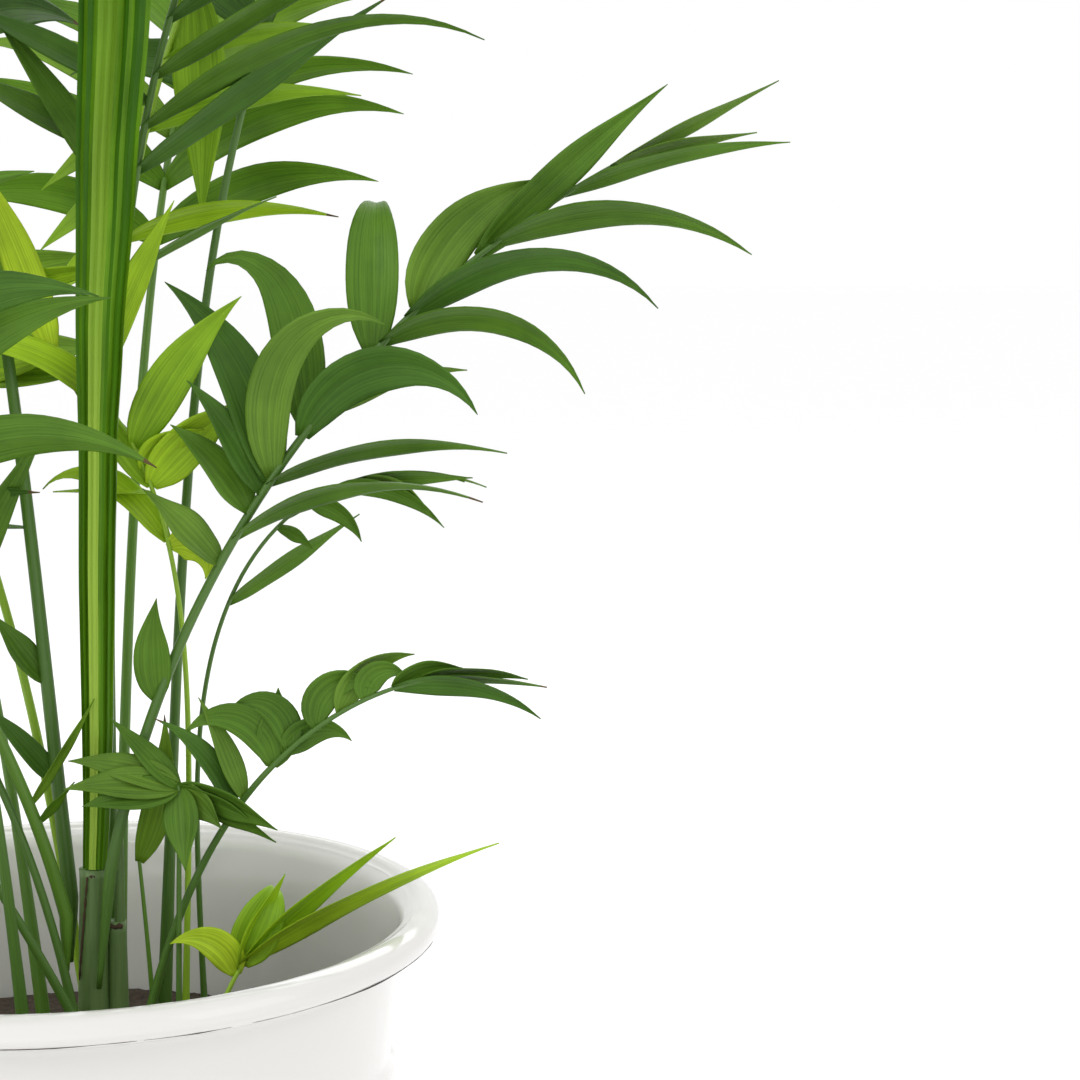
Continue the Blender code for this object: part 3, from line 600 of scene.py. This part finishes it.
def leaf_green(name, colour, foot=None):
    """Leaf skin: veins run along the leaflet, with slow patches of lighter green.

    foot is (colour, from height, to height) in mm: the skin starts in that colour and turns into its own.
    """
    mat, tree, shader = shader_of(name)
    low = shade(colour, 0.55)
    high = (min(1.0, colour[0] * 1.45), min(1.0, colour[1] * 1.25), colour[2] * 1.3, 1.0)
    veins = noise_of(tree, 1.0, 3.0, (26.0, 1.2, 1.0))
    patch = noise_of(tree, 38.0, 4.0)
    blend = tree.nodes.new("ShaderNodeMath")
    blend.operation = "MULTIPLY_ADD"
    blend.inputs[1].default_value = 0.55
    tree.links.new(veins.outputs["Fac"], blend.inputs[0])
    half = tree.nodes.new("ShaderNodeMath")
    half.operation = "MULTIPLY"
    half.inputs[1].default_value = 0.45
    tree.links.new(patch.outputs["Fac"], half.inputs[0])
    tree.links.new(half.outputs[0], blend.inputs[2])
    ramp = mixed(tree, blend.outputs[0], low, high)
    ramp.color_ramp.elements[0].position = 0.34
    ramp.color_ramp.elements[1].position = 0.66
    skin = ramp.outputs["Color"]
    if foot:
        start, low_z, high_z = foot
        coords = tree.nodes.new("ShaderNodeTexCoord")
        split = tree.nodes.new("ShaderNodeSeparateXYZ")
        tree.links.new(coords.outputs["UV"], split.inputs[0])
        span = tree.nodes.new("ShaderNodeMapRange")
        span.interpolation_type = "SMOOTHSTEP"
        span.inputs["From Min"].default_value = low_z / LEAF_RUN
        span.inputs["From Max"].default_value = high_z / LEAF_RUN
        tree.links.new(split.outputs["Y"], span.inputs["Value"])
        fade = tree.nodes.new("ShaderNodeMixRGB")
        fade.inputs["Color1"].default_value = start + (1.0,)
        tree.links.new(span.outputs["Result"], fade.inputs["Fac"])
        tree.links.new(skin, fade.inputs["Color2"])
        skin = fade.outputs["Color"]
    tree.links.new(skin, shader.inputs["Base Color"])
    shader.inputs["Roughness"].default_value = 0.45
    shader.inputs["Specular IOR Level"].default_value = 0.16
    bumped(tree, shader, veins.outputs["Fac"], 0.35, 0.0004)
    return mat


def stem_green(name, colour):
    """Stem skin with a grain that runs along it."""
    mat, tree, shader, grain = grained(name, colour, 0.6, 1.35, 0.42, 1.0, 4.0, (14.0, 2.0, 1.0))
    bumped(tree, shader, grain, 0.3, 0.0003)
    return mat


def glaze_white(name, colour):
    """Glossy glaze, slightly clouded and rippled."""
    mat, tree, shader, _ = grained(name, colour, 0.955, 1.0, 0.14, 14.0, 5.0)
    shader.inputs["Coat Weight"].default_value = 0.5
    shader.inputs["Coat Roughness"].default_value = 0.06
    ripple = noise_of(tree, 55.0, 3.0)
    bumped(tree, shader, ripple.outputs["Fac"], 0.06, 0.0006)
    return mat


def crumbly(name, colour):
    """Rough soil with light and dark grit."""
    mat, tree, shader, grit = grained(name, colour, 0.35, 2.4, 0.94, 420.0, 6.0)
    bumped(tree, shader, grit, 0.8, 0.002)
    return mat


def matte_dark(name, colour):
    """Dull, dry plant skin; also the dark painted shadow in the seam under the pot's lip."""
    return grained(name, colour, 0.4, 1.0, 0.8, 160.0, 4.0)[0]


def piece(name, verts, faces, mats, picks=None, uvs=None, nodes=()):
    """A finished piece of the plant: smooth shaded, riding on the one body."""
    mesh = bpy.data.meshes.new(name)
    mesh.from_pydata([tuple(v) for v in verts], [], faces)
    for mat in mats:
        mesh.materials.append(mat)
    if picks:
        mesh.polygons.foreach_set("material_index", picks)
    if uvs:
        layer = mesh.uv_layers.new(name="along")
        flat = []
        for loop in mesh.loops:
            flat.extend(uvs[loop.vertex_index])
        layer.data.foreach_set("uv", flat)
    mesh.polygons.foreach_set("use_smooth", [True] * len(mesh.polygons))
    mesh.update()
    obj = bpy.data.objects.new(name, mesh)
    bpy.context.scene.collection.objects.link(obj)
    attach(obj, BODY)
    if nodes:
        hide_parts(*nodes)
    return obj


def fine_blade(row, mood, sizes, bend):
    """A leaflet with a keel, lengthwise ribs and a gently waved edge, closed with its own thickness.

    mood is its wave, where the wave starts and its twist; bend moves its outer part up and sideways, in mm.
    """
    rings, cols = sizes.leaf_rings, sizes.leaf_columns
    frames = leaf_frames(row, rings)
    wave, phase, twist = mood
    thin = sizes.leaf_thickness * TO_MM
    verts, uvs, faces = [], [], []
    for s, p, across, normal in frames:
        spin = Matrix.Rotation(twist * s * s, 3, across.cross(normal))
        across, normal = spin @ across, spin @ normal
        p = p + (normal * bend[0] + across * bend[1]) * (s * (2.0 - s) * MM)
        half = max(TIP_HALF, half_width(s) * (1.0 - TIP_TAPER * smooth(0.5, 0.97, s)) * row["width"] / 2.0)
        rise = LEAF_KEEL * half
        for layer in (0, 1):
            for j in range(cols + 1):
                u = -1.0 + 2.0 * j / cols
                lift = rise * (abs(u) - 0.5)
                lift += half * wave * u * abs(u) * math.sin(phase + 9.0 * s) * min(1.0, 4.0 * s)
                ribs = sizes.vein_depth * TO_MM * math.cos(u * math.pi * RIB_WAVES) * min(1.0, half / 4.0)
                drop = thin * (1.0 - 0.7 * abs(u)) if layer else 0.0
                verts.append(p + (across * half * u + normal * (lift + ribs - drop)) * MM)
                uvs.append((0.5 + 0.5 * u, s * row["length"] / LEAF_RUN))
    wide = 2 * (cols + 1)
    for i in range(rings):
        a, b = i * wide, (i + 1) * wide
        for j in range(cols):
            faces.append((a + j, b + j, b + j + 1, a + j + 1))
            c, d = a + cols + 1, b + cols + 1
            faces.append((c + j + 1, d + j + 1, d + j, c + j))
        faces.append((a, a + cols + 1, b + cols + 1, b))
        faces.append((a + cols, b + cols, b + 2 * cols + 1, a + 2 * cols + 1))
    for base, flip in ((0, False), (rings * wide, True)):
        loop = list(range(base, base + cols + 1)) + list(range(base + 2 * cols + 1, base + cols, -1))
        faces.append(tuple(loop[::-1] if flip else loop))
    return verts, faces, uvs


def fine_tube(points, radii, sides):
    """A closed tube whose skin also runs along it."""
    verts, faces = tube(points, radii, sides)
    uvs, far = [], 0.0
    for i, p in enumerate(points):
        far += (p - points[i - 1]).length if i else 0.0
        for j in range(sides):
            uvs.append((2.0 * abs(j / sides - 0.5), far / STEM_RUN))
    return verts, faces, uvs


def fine_line(points, heel, count):
    """A stalk's line in even steps, led down to its heel on the cane where it has one."""
    path = [along(points, i / count)[0] for i in range(count + 1)]
    if heel is not None:
        gap = path[0] - heel
        path = [heel + gap * (i / HEEL_STEPS) for i in range(HEEL_STEPS)] + path
    return path


class PalmSizes(bpy.types.PropertyGroup):
    leaf_thickness: bpy.props.FloatProperty(
        name="Leaflet thickness", description="How thick each leaflet is at its rib",
        default=0.00045, min=0.0002, unit="LENGTH")
    vein_depth: bpy.props.FloatProperty(
        name="Vein depth", description="Height of the ribs that run along each leaflet",
        default=0.00009, min=0.0, unit="LENGTH")
    leaf_rings: bpy.props.IntProperty(
        name="Leaflet steps", description="Steps along each leaflet", default=18, min=6)
    leaf_columns: bpy.props.IntProperty(
        name="Leaflet columns", description="Steps across each leaflet", default=10, min=4)
    # The seam is a ring of painted shadow under the lip; this sets how far below the top it sits
    seam_drop: bpy.props.FloatProperty(
        name="Seam below the lip", description="Depth of the dark seam beneath the pot's rolled lip",
        default=0.0092, min=0.0, unit="LENGTH")
    crumb: bpy.props.FloatProperty(
        name="Soil crumb", description="Height of the crumbs on the soil",
        default=0.0022, min=0.0, unit="LENGTH")


def tint(name, description, default):
    """A colour that the panel offers."""
    return bpy.props.FloatVectorProperty(
        name=name, description=description, subtype="COLOR", size=3, default=default)


class PalmColours(bpy.types.PropertyGroup):
    dark: tint("Old leaf", "Green of the old leaflets", (0.075, 0.187, 0.015))
    mid: tint("Leaf", "Green of the grown leaflets", (0.102, 0.248, 0.013))
    bright: tint("Young leaf", "Yellow-green of the young leaflets", (0.300, 0.540, 0.018))
    spear_deep: tint("Spear, deep stripe", "Dark green of the spear's folds", (0.034, 0.130, 0.003))
    spear_fresh: tint("Spear, green stripe", "Fresh green of the spear's ribs", (0.090, 0.235, 0.006))
    spear_pale: tint("Spear, pale foot", "Yellow-green low on the spear", (0.300, 0.460, 0.055))
    cane: tint("Cane", "Grey-green of the canes", (0.115, 0.200, 0.058))
    glaze: tint("Glaze", "White of the pot's glaze", (0.72, 0.706, 0.684))
    soil: tint("Soil", "Brown of the potting soil", (0.040, 0.027, 0.019))


class PALM_OT_pot(bpy.types.Operator):
    """Turn the glazed pot with its rolled lip, a ring of painted shadow in the seam under it, its bead and
    foot
    """
    bl_idname = "palm.pot"
    bl_label = "Pot"

    def execute(self, context):
        sizes, colours = context.scene.palm_sizes, context.scene.palm_colours
        glaze = glaze_white("white_glaze", colours.glaze)
        # The seam's dark colour is painted shadow: the shade in the gap under the rolled lip
        seam = matte_dark("lip_seam_painted_shadow", (0.10, 0.09, 0.08))
        rows = pot_profile()
        fine = []
        for (r0, z0), (r1, z1) in zip(rows, rows[1:]):
            steps = max(1, int(math.hypot(r1 - r0, z1 - z0) / POT_STEP))
            fine += [(r0 + (r1 - r0) * k / steps, z0 + (z1 - z0) * k / steps) for k in range(steps)]
        fine = [p for p in fine if p[0] > 0.01]
        verts, uvs = [], []
        for r, z in fine:
            for j in range(POT_SIDES):
                a = 2.0 * math.pi * j / POT_SIDES
                uneven = POT_WOBBLE * noise.noise(Vector((math.cos(a) * 2.0, math.sin(a) * 2.0, z * 0.02)))
                verts.append(vec((r + uneven) * math.cos(a), (r + uneven) * math.sin(a), z))
                uvs.append((j / POT_SIDES, z * 0.01))
        faces = ring_faces(len(fine), POT_SIDES)
        faces.append(tuple(range(POT_SIDES - 1, -1, -1)))
        faces.append(tuple(range((len(fine) - 1) * POT_SIDES, len(fine) * POT_SIDES)))
        pot = piece("pot_body", verts, faces, [glaze], None, uvs, ["pot"])
        turn = bmesh.new()
        turn.from_mesh(pot.data)
        bmesh.ops.recalc_face_normals(turn, faces=turn.faces)
        turn.to_mesh(pot.data)
        turn.free()
        # A thin, uneven dark ring of painted shadow just under the lip
        height = POT_HEIGHT - sizes.seam_drop * TO_MM - 0.2
        ring, skin, rng = [], [], random.Random(7)
        for j in range(SEAM_POINTS):
            a = 2.0 * math.pi * j / SEAM_POINTS
            sway = noise.noise(Vector((math.cos(a) * 6.0, math.sin(a) * 6.0, 1.7)))
            p = vec(SEAM_RADIUS * math.cos(a), SEAM_RADIUS * math.sin(a), height + 0.30 * sway)
            swell = max(0.0, noise.noise(Vector((math.cos(a) * 11.0, math.sin(a) * 11.0, 4.0))))
            width = (SEAM_THIN + SEAM_SWELL * swell + rng.uniform(0.0, 0.05)) * MM
            out = Vector((p.x, p.y, 0.0)).normalized()
            for k in range(SEAM_SIDES):
                b = 2.0 * math.pi * k / SEAM_SIDES
                ring.append(p + (out * math.cos(b) + Vector((0, 0, 1)) * math.sin(b)) * width)
                n, m = (j + 1) % SEAM_POINTS, (k + 1) % SEAM_SIDES
                skin.append((j * SEAM_SIDES + k, j * SEAM_SIDES + m, n * SEAM_SIDES + m, n * SEAM_SIDES + k))
        piece("pot_lip_painted_shadow", ring, skin, [seam])
        return {"FINISHED"}


class PALM_OT_soil(bpy.types.Operator):
    """Heap the crumbly soil inside the pot"""
    bl_idname = "palm.soil"
    bl_label = "Soil"

    def execute(self, context):
        sizes, colours = context.scene.palm_sizes, context.scene.palm_colours
        rings, sides, verts, faces = SOIL_RINGS, SOIL_SIDES, [vec(0, 0, SOIL_TOP - 1.2)], []
        for i in range(1, rings + 1):
            r = (SOIL_RADIUS - 0.2) * i / rings
            for j in range(sides):
                a = 2.0 * math.pi * j / sides
                x, y = r * math.cos(a), r * math.sin(a)
                lump = (noise.noise(Vector((x, y, 0.0)) * 0.21) + 0.6 * noise.noise(Vector((x, y, 3.0)) * 0.6)
                        + 0.9 * noise.noise(Vector((x, y, 9.0)) * 0.07))
                edge = 3.2 * smooth(SOIL_RADIUS - 12.0, SOIL_RADIUS, r)
                verts.append(vec(x, y, SOIL_TOP - 1.6 + sizes.crumb * (0.5 * TO_MM) * lump - edge))
        low = len(verts)
        for j in range(sides):
            a = 2.0 * math.pi * j / sides
            r = SOIL_RADIUS - 3.0
            verts.append(vec(r * math.cos(a), r * math.sin(a), SOIL_TOP - SOIL_SINK))
        for j in range(sides):
            k = (j + 1) % sides
            faces.append((0, 1 + j, 1 + k))
            for i in range(rings - 1):
                a, b = 1 + i * sides, 1 + (i + 1) * sides
                faces.append((a + j, b + j, b + k, a + k))
            b = 1 + (rings - 1) * sides
            faces.append((b + j, low + j, low + k, b + k))
        faces.append(tuple(reversed(range(low, low + sides))))
        soil = crumbly("potting_soil", colours.soil)
        piece("soil_top", verts, faces, [soil], nodes=["soil"])
        return {"FINISHED"}


class PALM_OT_canes(bpy.types.Operator):
    """Grow the two canes with their torn brown sheath edges"""
    bl_idname = "palm.canes"
    bl_label = "Canes"

    def execute(self, context):
        colours = context.scene.palm_colours
        green = stem_green("cane_skin", colours.cane)
        brown = matte_dark("torn_sheath", (0.085, 0.045, 0.020))
        verts, faces, uvs, picks = [], [], [], []

        def add(shape, pick):
            first = len(verts)
            verts.extend(shape[0])
            uvs.extend(shape[2])
            faces.extend(tuple(first + i for i in face) for face in shape[1])
            picks.extend([pick] * len(shape[1]))

        x, y = CANE_AT
        line, girth = [], []
        for k in range(CANE_STEPS + 1):
            t = k / CANE_STEPS
            line.append(vec(x + CANE_SHIFT * t, y, CANE_ROOT + (CANE_TOP - CANE_ROOT) * t))
            knuckle = 1.0 + 0.05 * (k % 8 == 0)
            girth.append(CANE_RADIUS * (1.04 - 0.12 * t) * MM * knuckle)
        add(fine_tube(line, girth, 28), 0)

        sx, sy = SIDE_CANE_AT
        line = [vec(sx, sy, CANE_ROOT + (SIDE_CANE_TOP - CANE_ROOT) * k / SIDE_CANE_STEPS)
                for k in range(SIDE_CANE_STEPS + 1)]
        girth = [SIDE_CANE_RADIUS * (1.05 - 0.012 * k) * MM for k in range(SIDE_CANE_STEPS + 1)]
        add(fine_tube(line, girth, 22), 0)

        line = [vec(sx + 1.0 + 0.8 * k / SHEATH_STEPS, sy,
                    SIDE_CANE_TOP - 8.0 + SHEATH_LENGTH * k / SHEATH_STEPS) for k in range(SHEATH_STEPS + 1)]
        girth = [SIDE_SHEATH_RADIUS * (1.0 - 0.05 * k) * MM for k in range(SHEATH_STEPS + 1)]
        add(fine_tube(line, girth, 14), 0)

        # One torn edge climbs the cane's front and another lies along its top
        line, girth = [], []
        for k in range(TORN_STEPS + 1):
            off = 3.6 - 3.9 * (k / TORN_STEPS)
            out = math.sqrt(max(0.1, 5.25 ** 2 - off ** 2))
            line.append(vec(x - off, y - out, CANE_TOP - 40.0 + 38.0 * (k / TORN_STEPS)))
            girth.append((0.18 + 0.30 * abs(math.sin(k * 1.7))) * MM)
        add(fine_tube(line, girth, 6), 1)
        line = [vec(x + 1.2 + 0.5 * k, y - 4.7 + 0.1 * k, CANE_TOP - 1.4 - 0.5 * (k % 2)) for k in range(5)]
        add(fine_tube(line, [r * MM for r in (0.7, 0.9, 0.6, 0.8, 0.3)], 6), 1)

        # A dark notch crosses the side cane's front just below its top
        line = [vec(sx - 2.6 + 1.3 * k, sy - 3.2 + 0.25 * abs(k - 2), SIDE_CANE_TOP - 1.6 + 0.5 * (k % 2))
                for k in range(5)]
        add(fine_tube(line, [r * MM for r in (0.4, 1.1, 0.9, 1.2, 0.8)], 6), 1)
        piece("cane_stems", verts, faces, [green, brown], picks, uvs, ["canes"])
        return {"FINISHED"}


class PALM_OT_spear(bpy.types.Operator):
    """Fold the newest leaf: tight pleats in light and dark stripes"""
    bl_idname = "palm.spear"
    bl_label = "Spear"

    def execute(self, context):
        colours = context.scene.palm_colours
        deep, fresh, pale = colours.spear_deep, colours.spear_fresh, colours.spear_pale
        stripes = [leaf_green("spear_dark", deep, foot=(tuple(c * 0.85 for c in fresh),) + DARK_SPAN),
                   leaf_green("spear_green", fresh),
                   leaf_green("spear_pale", fresh, foot=(tuple(pale),) + PALE_SPAN)]
        layers, count, verts, uvs = SPEAR_LAYERS, 2 * SPEAR_FOLDS + 1, [], []
        low, high = SPEAR[0][0], SPEAR[-1][0]
        for i in range(layers + 1):
            z = low + (high - low) * i / layers
            for a, b in zip(SPEAR, SPEAR[1:]):
                if a[0] <= z <= b[0] + 1e-6:
                    t = (z - a[0]) / (b[0] - a[0])
                    t = smooth(0.0, 1.0, t) * 0.4 + 0.6 * t
                    x, half, thick = (a[k] + (b[k] - a[k]) * t for k in (1, 2, 3))
                    break
            front, back = [], []
            for j in range(count):
                u = -1.0 + 2.0 * j / (count - 1)
                bulge = thick * 0.96 * math.sqrt(max(0.0, 1.0 - 0.82 * u * u))
                fold = 0.17 * thick * (1 if j % 2 else -1) * min(1.0, half / 6.0)
                fold += 0.06 * thick * math.sin(j * 2.4 + z * 0.02)
                if abs(u) < 0.45:
                    fold *= 1.0 - 0.75 * smooth(PALE_SPAN[1], PALE_SPAN[0], z)
                front.append(vec(x + half * 0.985 * u, -bulge + fold, z))
                if 0 < j < count - 1:
                    back.append(vec(x + half * 0.985 * u, bulge + fold, z))
            verts += front + back[::-1]
            uvs += [(k / (2.0 * count), z / LEAF_RUN) for k in range(len(front) + len(back))]
        sides = 2 * count - 2
        faces = ring_faces(layers + 1, sides)
        around = [j if j < count - 1 else sides - 1 - j for j in range(sides)]
        picks = [SPEAR_STRIPES[k] for k in around] * layers
        faces.append(tuple(range(sides - 1, -1, -1)))
        faces.append(tuple(range(layers * sides, (layers + 1) * sides)))
        picks += [1, 1]
        obj = piece("spear_leaf", verts, faces, stripes, picks, uvs, ["spear"])
        obj.data.polygons.foreach_set("use_smooth", [False] * len(obj.data.polygons))
        return {"FINISHED"}


class PALM_OT_fronds(bpy.types.Operator):
    """Set every frond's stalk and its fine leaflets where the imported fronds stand"""
    bl_idname = "palm.fronds"
    bl_label = "Fronds"

    def execute(self, context):
        sizes, colours = context.scene.palm_sizes, context.scene.palm_colours
        tones = {LEAF_DARK: colours.dark, LEAF_MID: colours.mid, LEAF_BRIGHT: colours.bright}
        skins, stems = {}, {}
        for key, tone in tones.items():
            skins[key] = [leaf_green(key + "_skin", tone),
                          leaf_green(key + "_light", (tone[0] * 1.4, tone[1] * 1.22, tone[2] * 1.5)),
                          leaf_green(key + "_deep", (tone[0] * 0.7, tone[1] * 0.78, tone[2]))]
            stems[key] = stem_green(key + "_stalk", (tone[0] * 0.9, tone[1] * 0.85, tone[2] * 1.1))
        tip = matte_dark("dry_tip", (0.135, 0.085, 0.022))
        ground = Ground()
        for name in ("pot", "soil", "canes", "spear"):
            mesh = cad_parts[name].data
            ground.add(name, [v.co.copy() for v in mesh.vertices], [tuple(p.vertices) for p in mesh.polygons])
        lines, kept = place_leaves(ground)
        near = Ground()
        for name, f in FRONDS.items():
            heel = vec(*f["heel"]) if "heel" in f else None
            path = fine_line(lines[name], heel, STALK_FINE_STEPS)
            last = len(path) - 1
            foot, end = f["thick"]
            girth = [(foot * (1.0 + 0.22 * smooth(0.16, 0.0, i / last))
                      + (end * 0.75 - foot) * i / last) * MM for i in range(len(path))]
            if heel is not None:
                girth = [g * (0.30 + 0.70 * smooth(-1.0, 7.0, i)) for i, g in enumerate(girth)]
            line, skin, wrap = fine_tube(path, girth, STALK_FINE_SIDES)
            near.add(name, line, skin)
            piece(name + "_stalk", line, skin, [stems[f["slot"]]], None, wrap, [name])
        for name, f in FRONDS.items():
            rng = random.Random(name + "_fine")
            verts, faces, uvs, picks = [], [], [], []
            for row in kept[name]:
                mood = (rng.uniform(0.05, 0.13), rng.uniform(0.0, 6.28), rng.uniform(-0.16, 0.16))
                for bend in TIP_BENDS:
                    shape = fine_blade(row, mood, sizes, bend)
                    if not near.touches(name, shape[0], shape[1]):
                        break
                else:
                    print("still touches a neighbour:", name, row["length"])
                    shape = fine_blade(row, mood, sizes, TIP_BENDS[0])
                near.add(name, shape[0], shape[1])
                first = len(verts)
                verts += shape[0]
                uvs += shape[2]
                faces += [tuple(first + i for i in face) for face in shape[1]]
                tone = rng.choice((0, 0, 0, 1, 2))
                burnt = rng.random() < (DRY_OFTEN if name in DRY_FRONDS else DRY_SELDOM)
                per = 2 * sizes.leaf_columns + 2
                for i in range(len(shape[1])):
                    dry = burnt and i // per >= sizes.leaf_rings - 1
                    picks.append(3 if dry else tone)
            piece(name + "_leaflets", verts, faces, skins[f["slot"]] + [tip], picks, uvs, [name])
        return {"FINISHED"}


class PALM_OT_stage(bpy.types.Operator):
    """Lay the pale floor, hang the soft lights and set the camera"""
    bl_idname = "palm.stage"
    bl_label = "Stage"

    def execute(self, context):
        mat, _, shader = shader_of("pale_floor")
        shader.inputs["Base Color"].default_value = shade(WHITE[:3], FLOOR_SHADE)
        shader.inputs["Roughness"].default_value = 0.9
        shader.inputs["Emission Color"].default_value = WHITE
        shader.inputs["Emission Strength"].default_value = FLOOR_GLOW
        verts = [(x, y, 0.0) for y in (FLOOR_NEAR, FLOOR_FAR) for x in (-FLOOR_HALF, FLOOR_HALF)]
        mesh = bpy.data.meshes.new("pale_floor")
        mesh.from_pydata(verts, [], [(0, 1, 3, 2)])
        mesh.materials.append(mat)
        floor = bpy.data.objects.new("pale_floor", mesh)
        context.scene.collection.objects.link(floor)
        world = bpy.data.worlds.new("soft_sky")
        world.use_nodes = True
        sky = world.node_tree.nodes["Background"]
        sky.inputs["Color"].default_value = WHITE
        sky.inputs["Strength"].default_value = 1.0
        context.scene.world = world
        context.scene.view_settings.view_transform = "Standard"
        for name, at, power, side in LIGHTS:
            data = bpy.data.lights.new(name, "AREA")
            data.energy = power
            data.size = side
            lamp = bpy.data.objects.new(name, data)
            lamp.location = at
            lamp.rotation_euler = (Vector(LIT_POINT) - Vector(at)).to_track_quat("-Z", "Y").to_euler()
            context.scene.collection.objects.link(lamp)
        lens = bpy.data.cameras.new("picture")
        lens.lens = CAMERA_LENS
        lens.sensor_width = CAMERA_SENSOR
        lens.sensor_fit = "HORIZONTAL"
        lens.clip_start = 0.01
        eye = bpy.data.objects.new("picture", lens)
        eye.location = CAMERA_AT
        eye.rotation_euler = (math.radians(90.0 - CAMERA_DOWN), 0.0, 0.0)
        context.scene.collection.objects.link(eye)
        context.scene.camera = eye
        return {"FINISHED"}


class PALM_PT_panel(bpy.types.Panel):
    """Sizes, colours and steps of the palm"""
    bl_idname = "PALM_PT_panel"
    bl_label = "Potted parlour palm"
    bl_space_type = "VIEW_3D"
    bl_region_type = "UI"
    bl_category = "Palm"

    def draw(self, context):
        for group in (context.scene.palm_sizes, context.scene.palm_colours):
            for key in group.__annotations__:
                self.layout.prop(group, key)
        for step in STEPS:
            self.layout.operator(step.bl_idname)


STEPS = (PALM_OT_pot, PALM_OT_soil, PALM_OT_canes, PALM_OT_spear, PALM_OT_fronds, PALM_OT_stage)
CLASSES = (PalmSizes, PalmColours) + STEPS + (PALM_PT_panel,)


def register():
    for cls in CLASSES:
        bpy.utils.register_class(cls)
    bpy.types.Scene.palm_sizes = bpy.props.PointerProperty(type=PalmSizes)
    bpy.types.Scene.palm_colours = bpy.props.PointerProperty(type=PalmColours)


def unregister():
    del bpy.types.Scene.palm_sizes
    del bpy.types.Scene.palm_colours
    for cls in reversed(CLASSES):
        bpy.utils.unregister_class(cls)


def main():
    register()
    for step in (bpy.ops.palm.pot, bpy.ops.palm.soil, bpy.ops.palm.canes, bpy.ops.palm.spear,
                 bpy.ops.palm.fronds, bpy.ops.palm.stage):
        step()


if __name__ == "__main__":
    main()
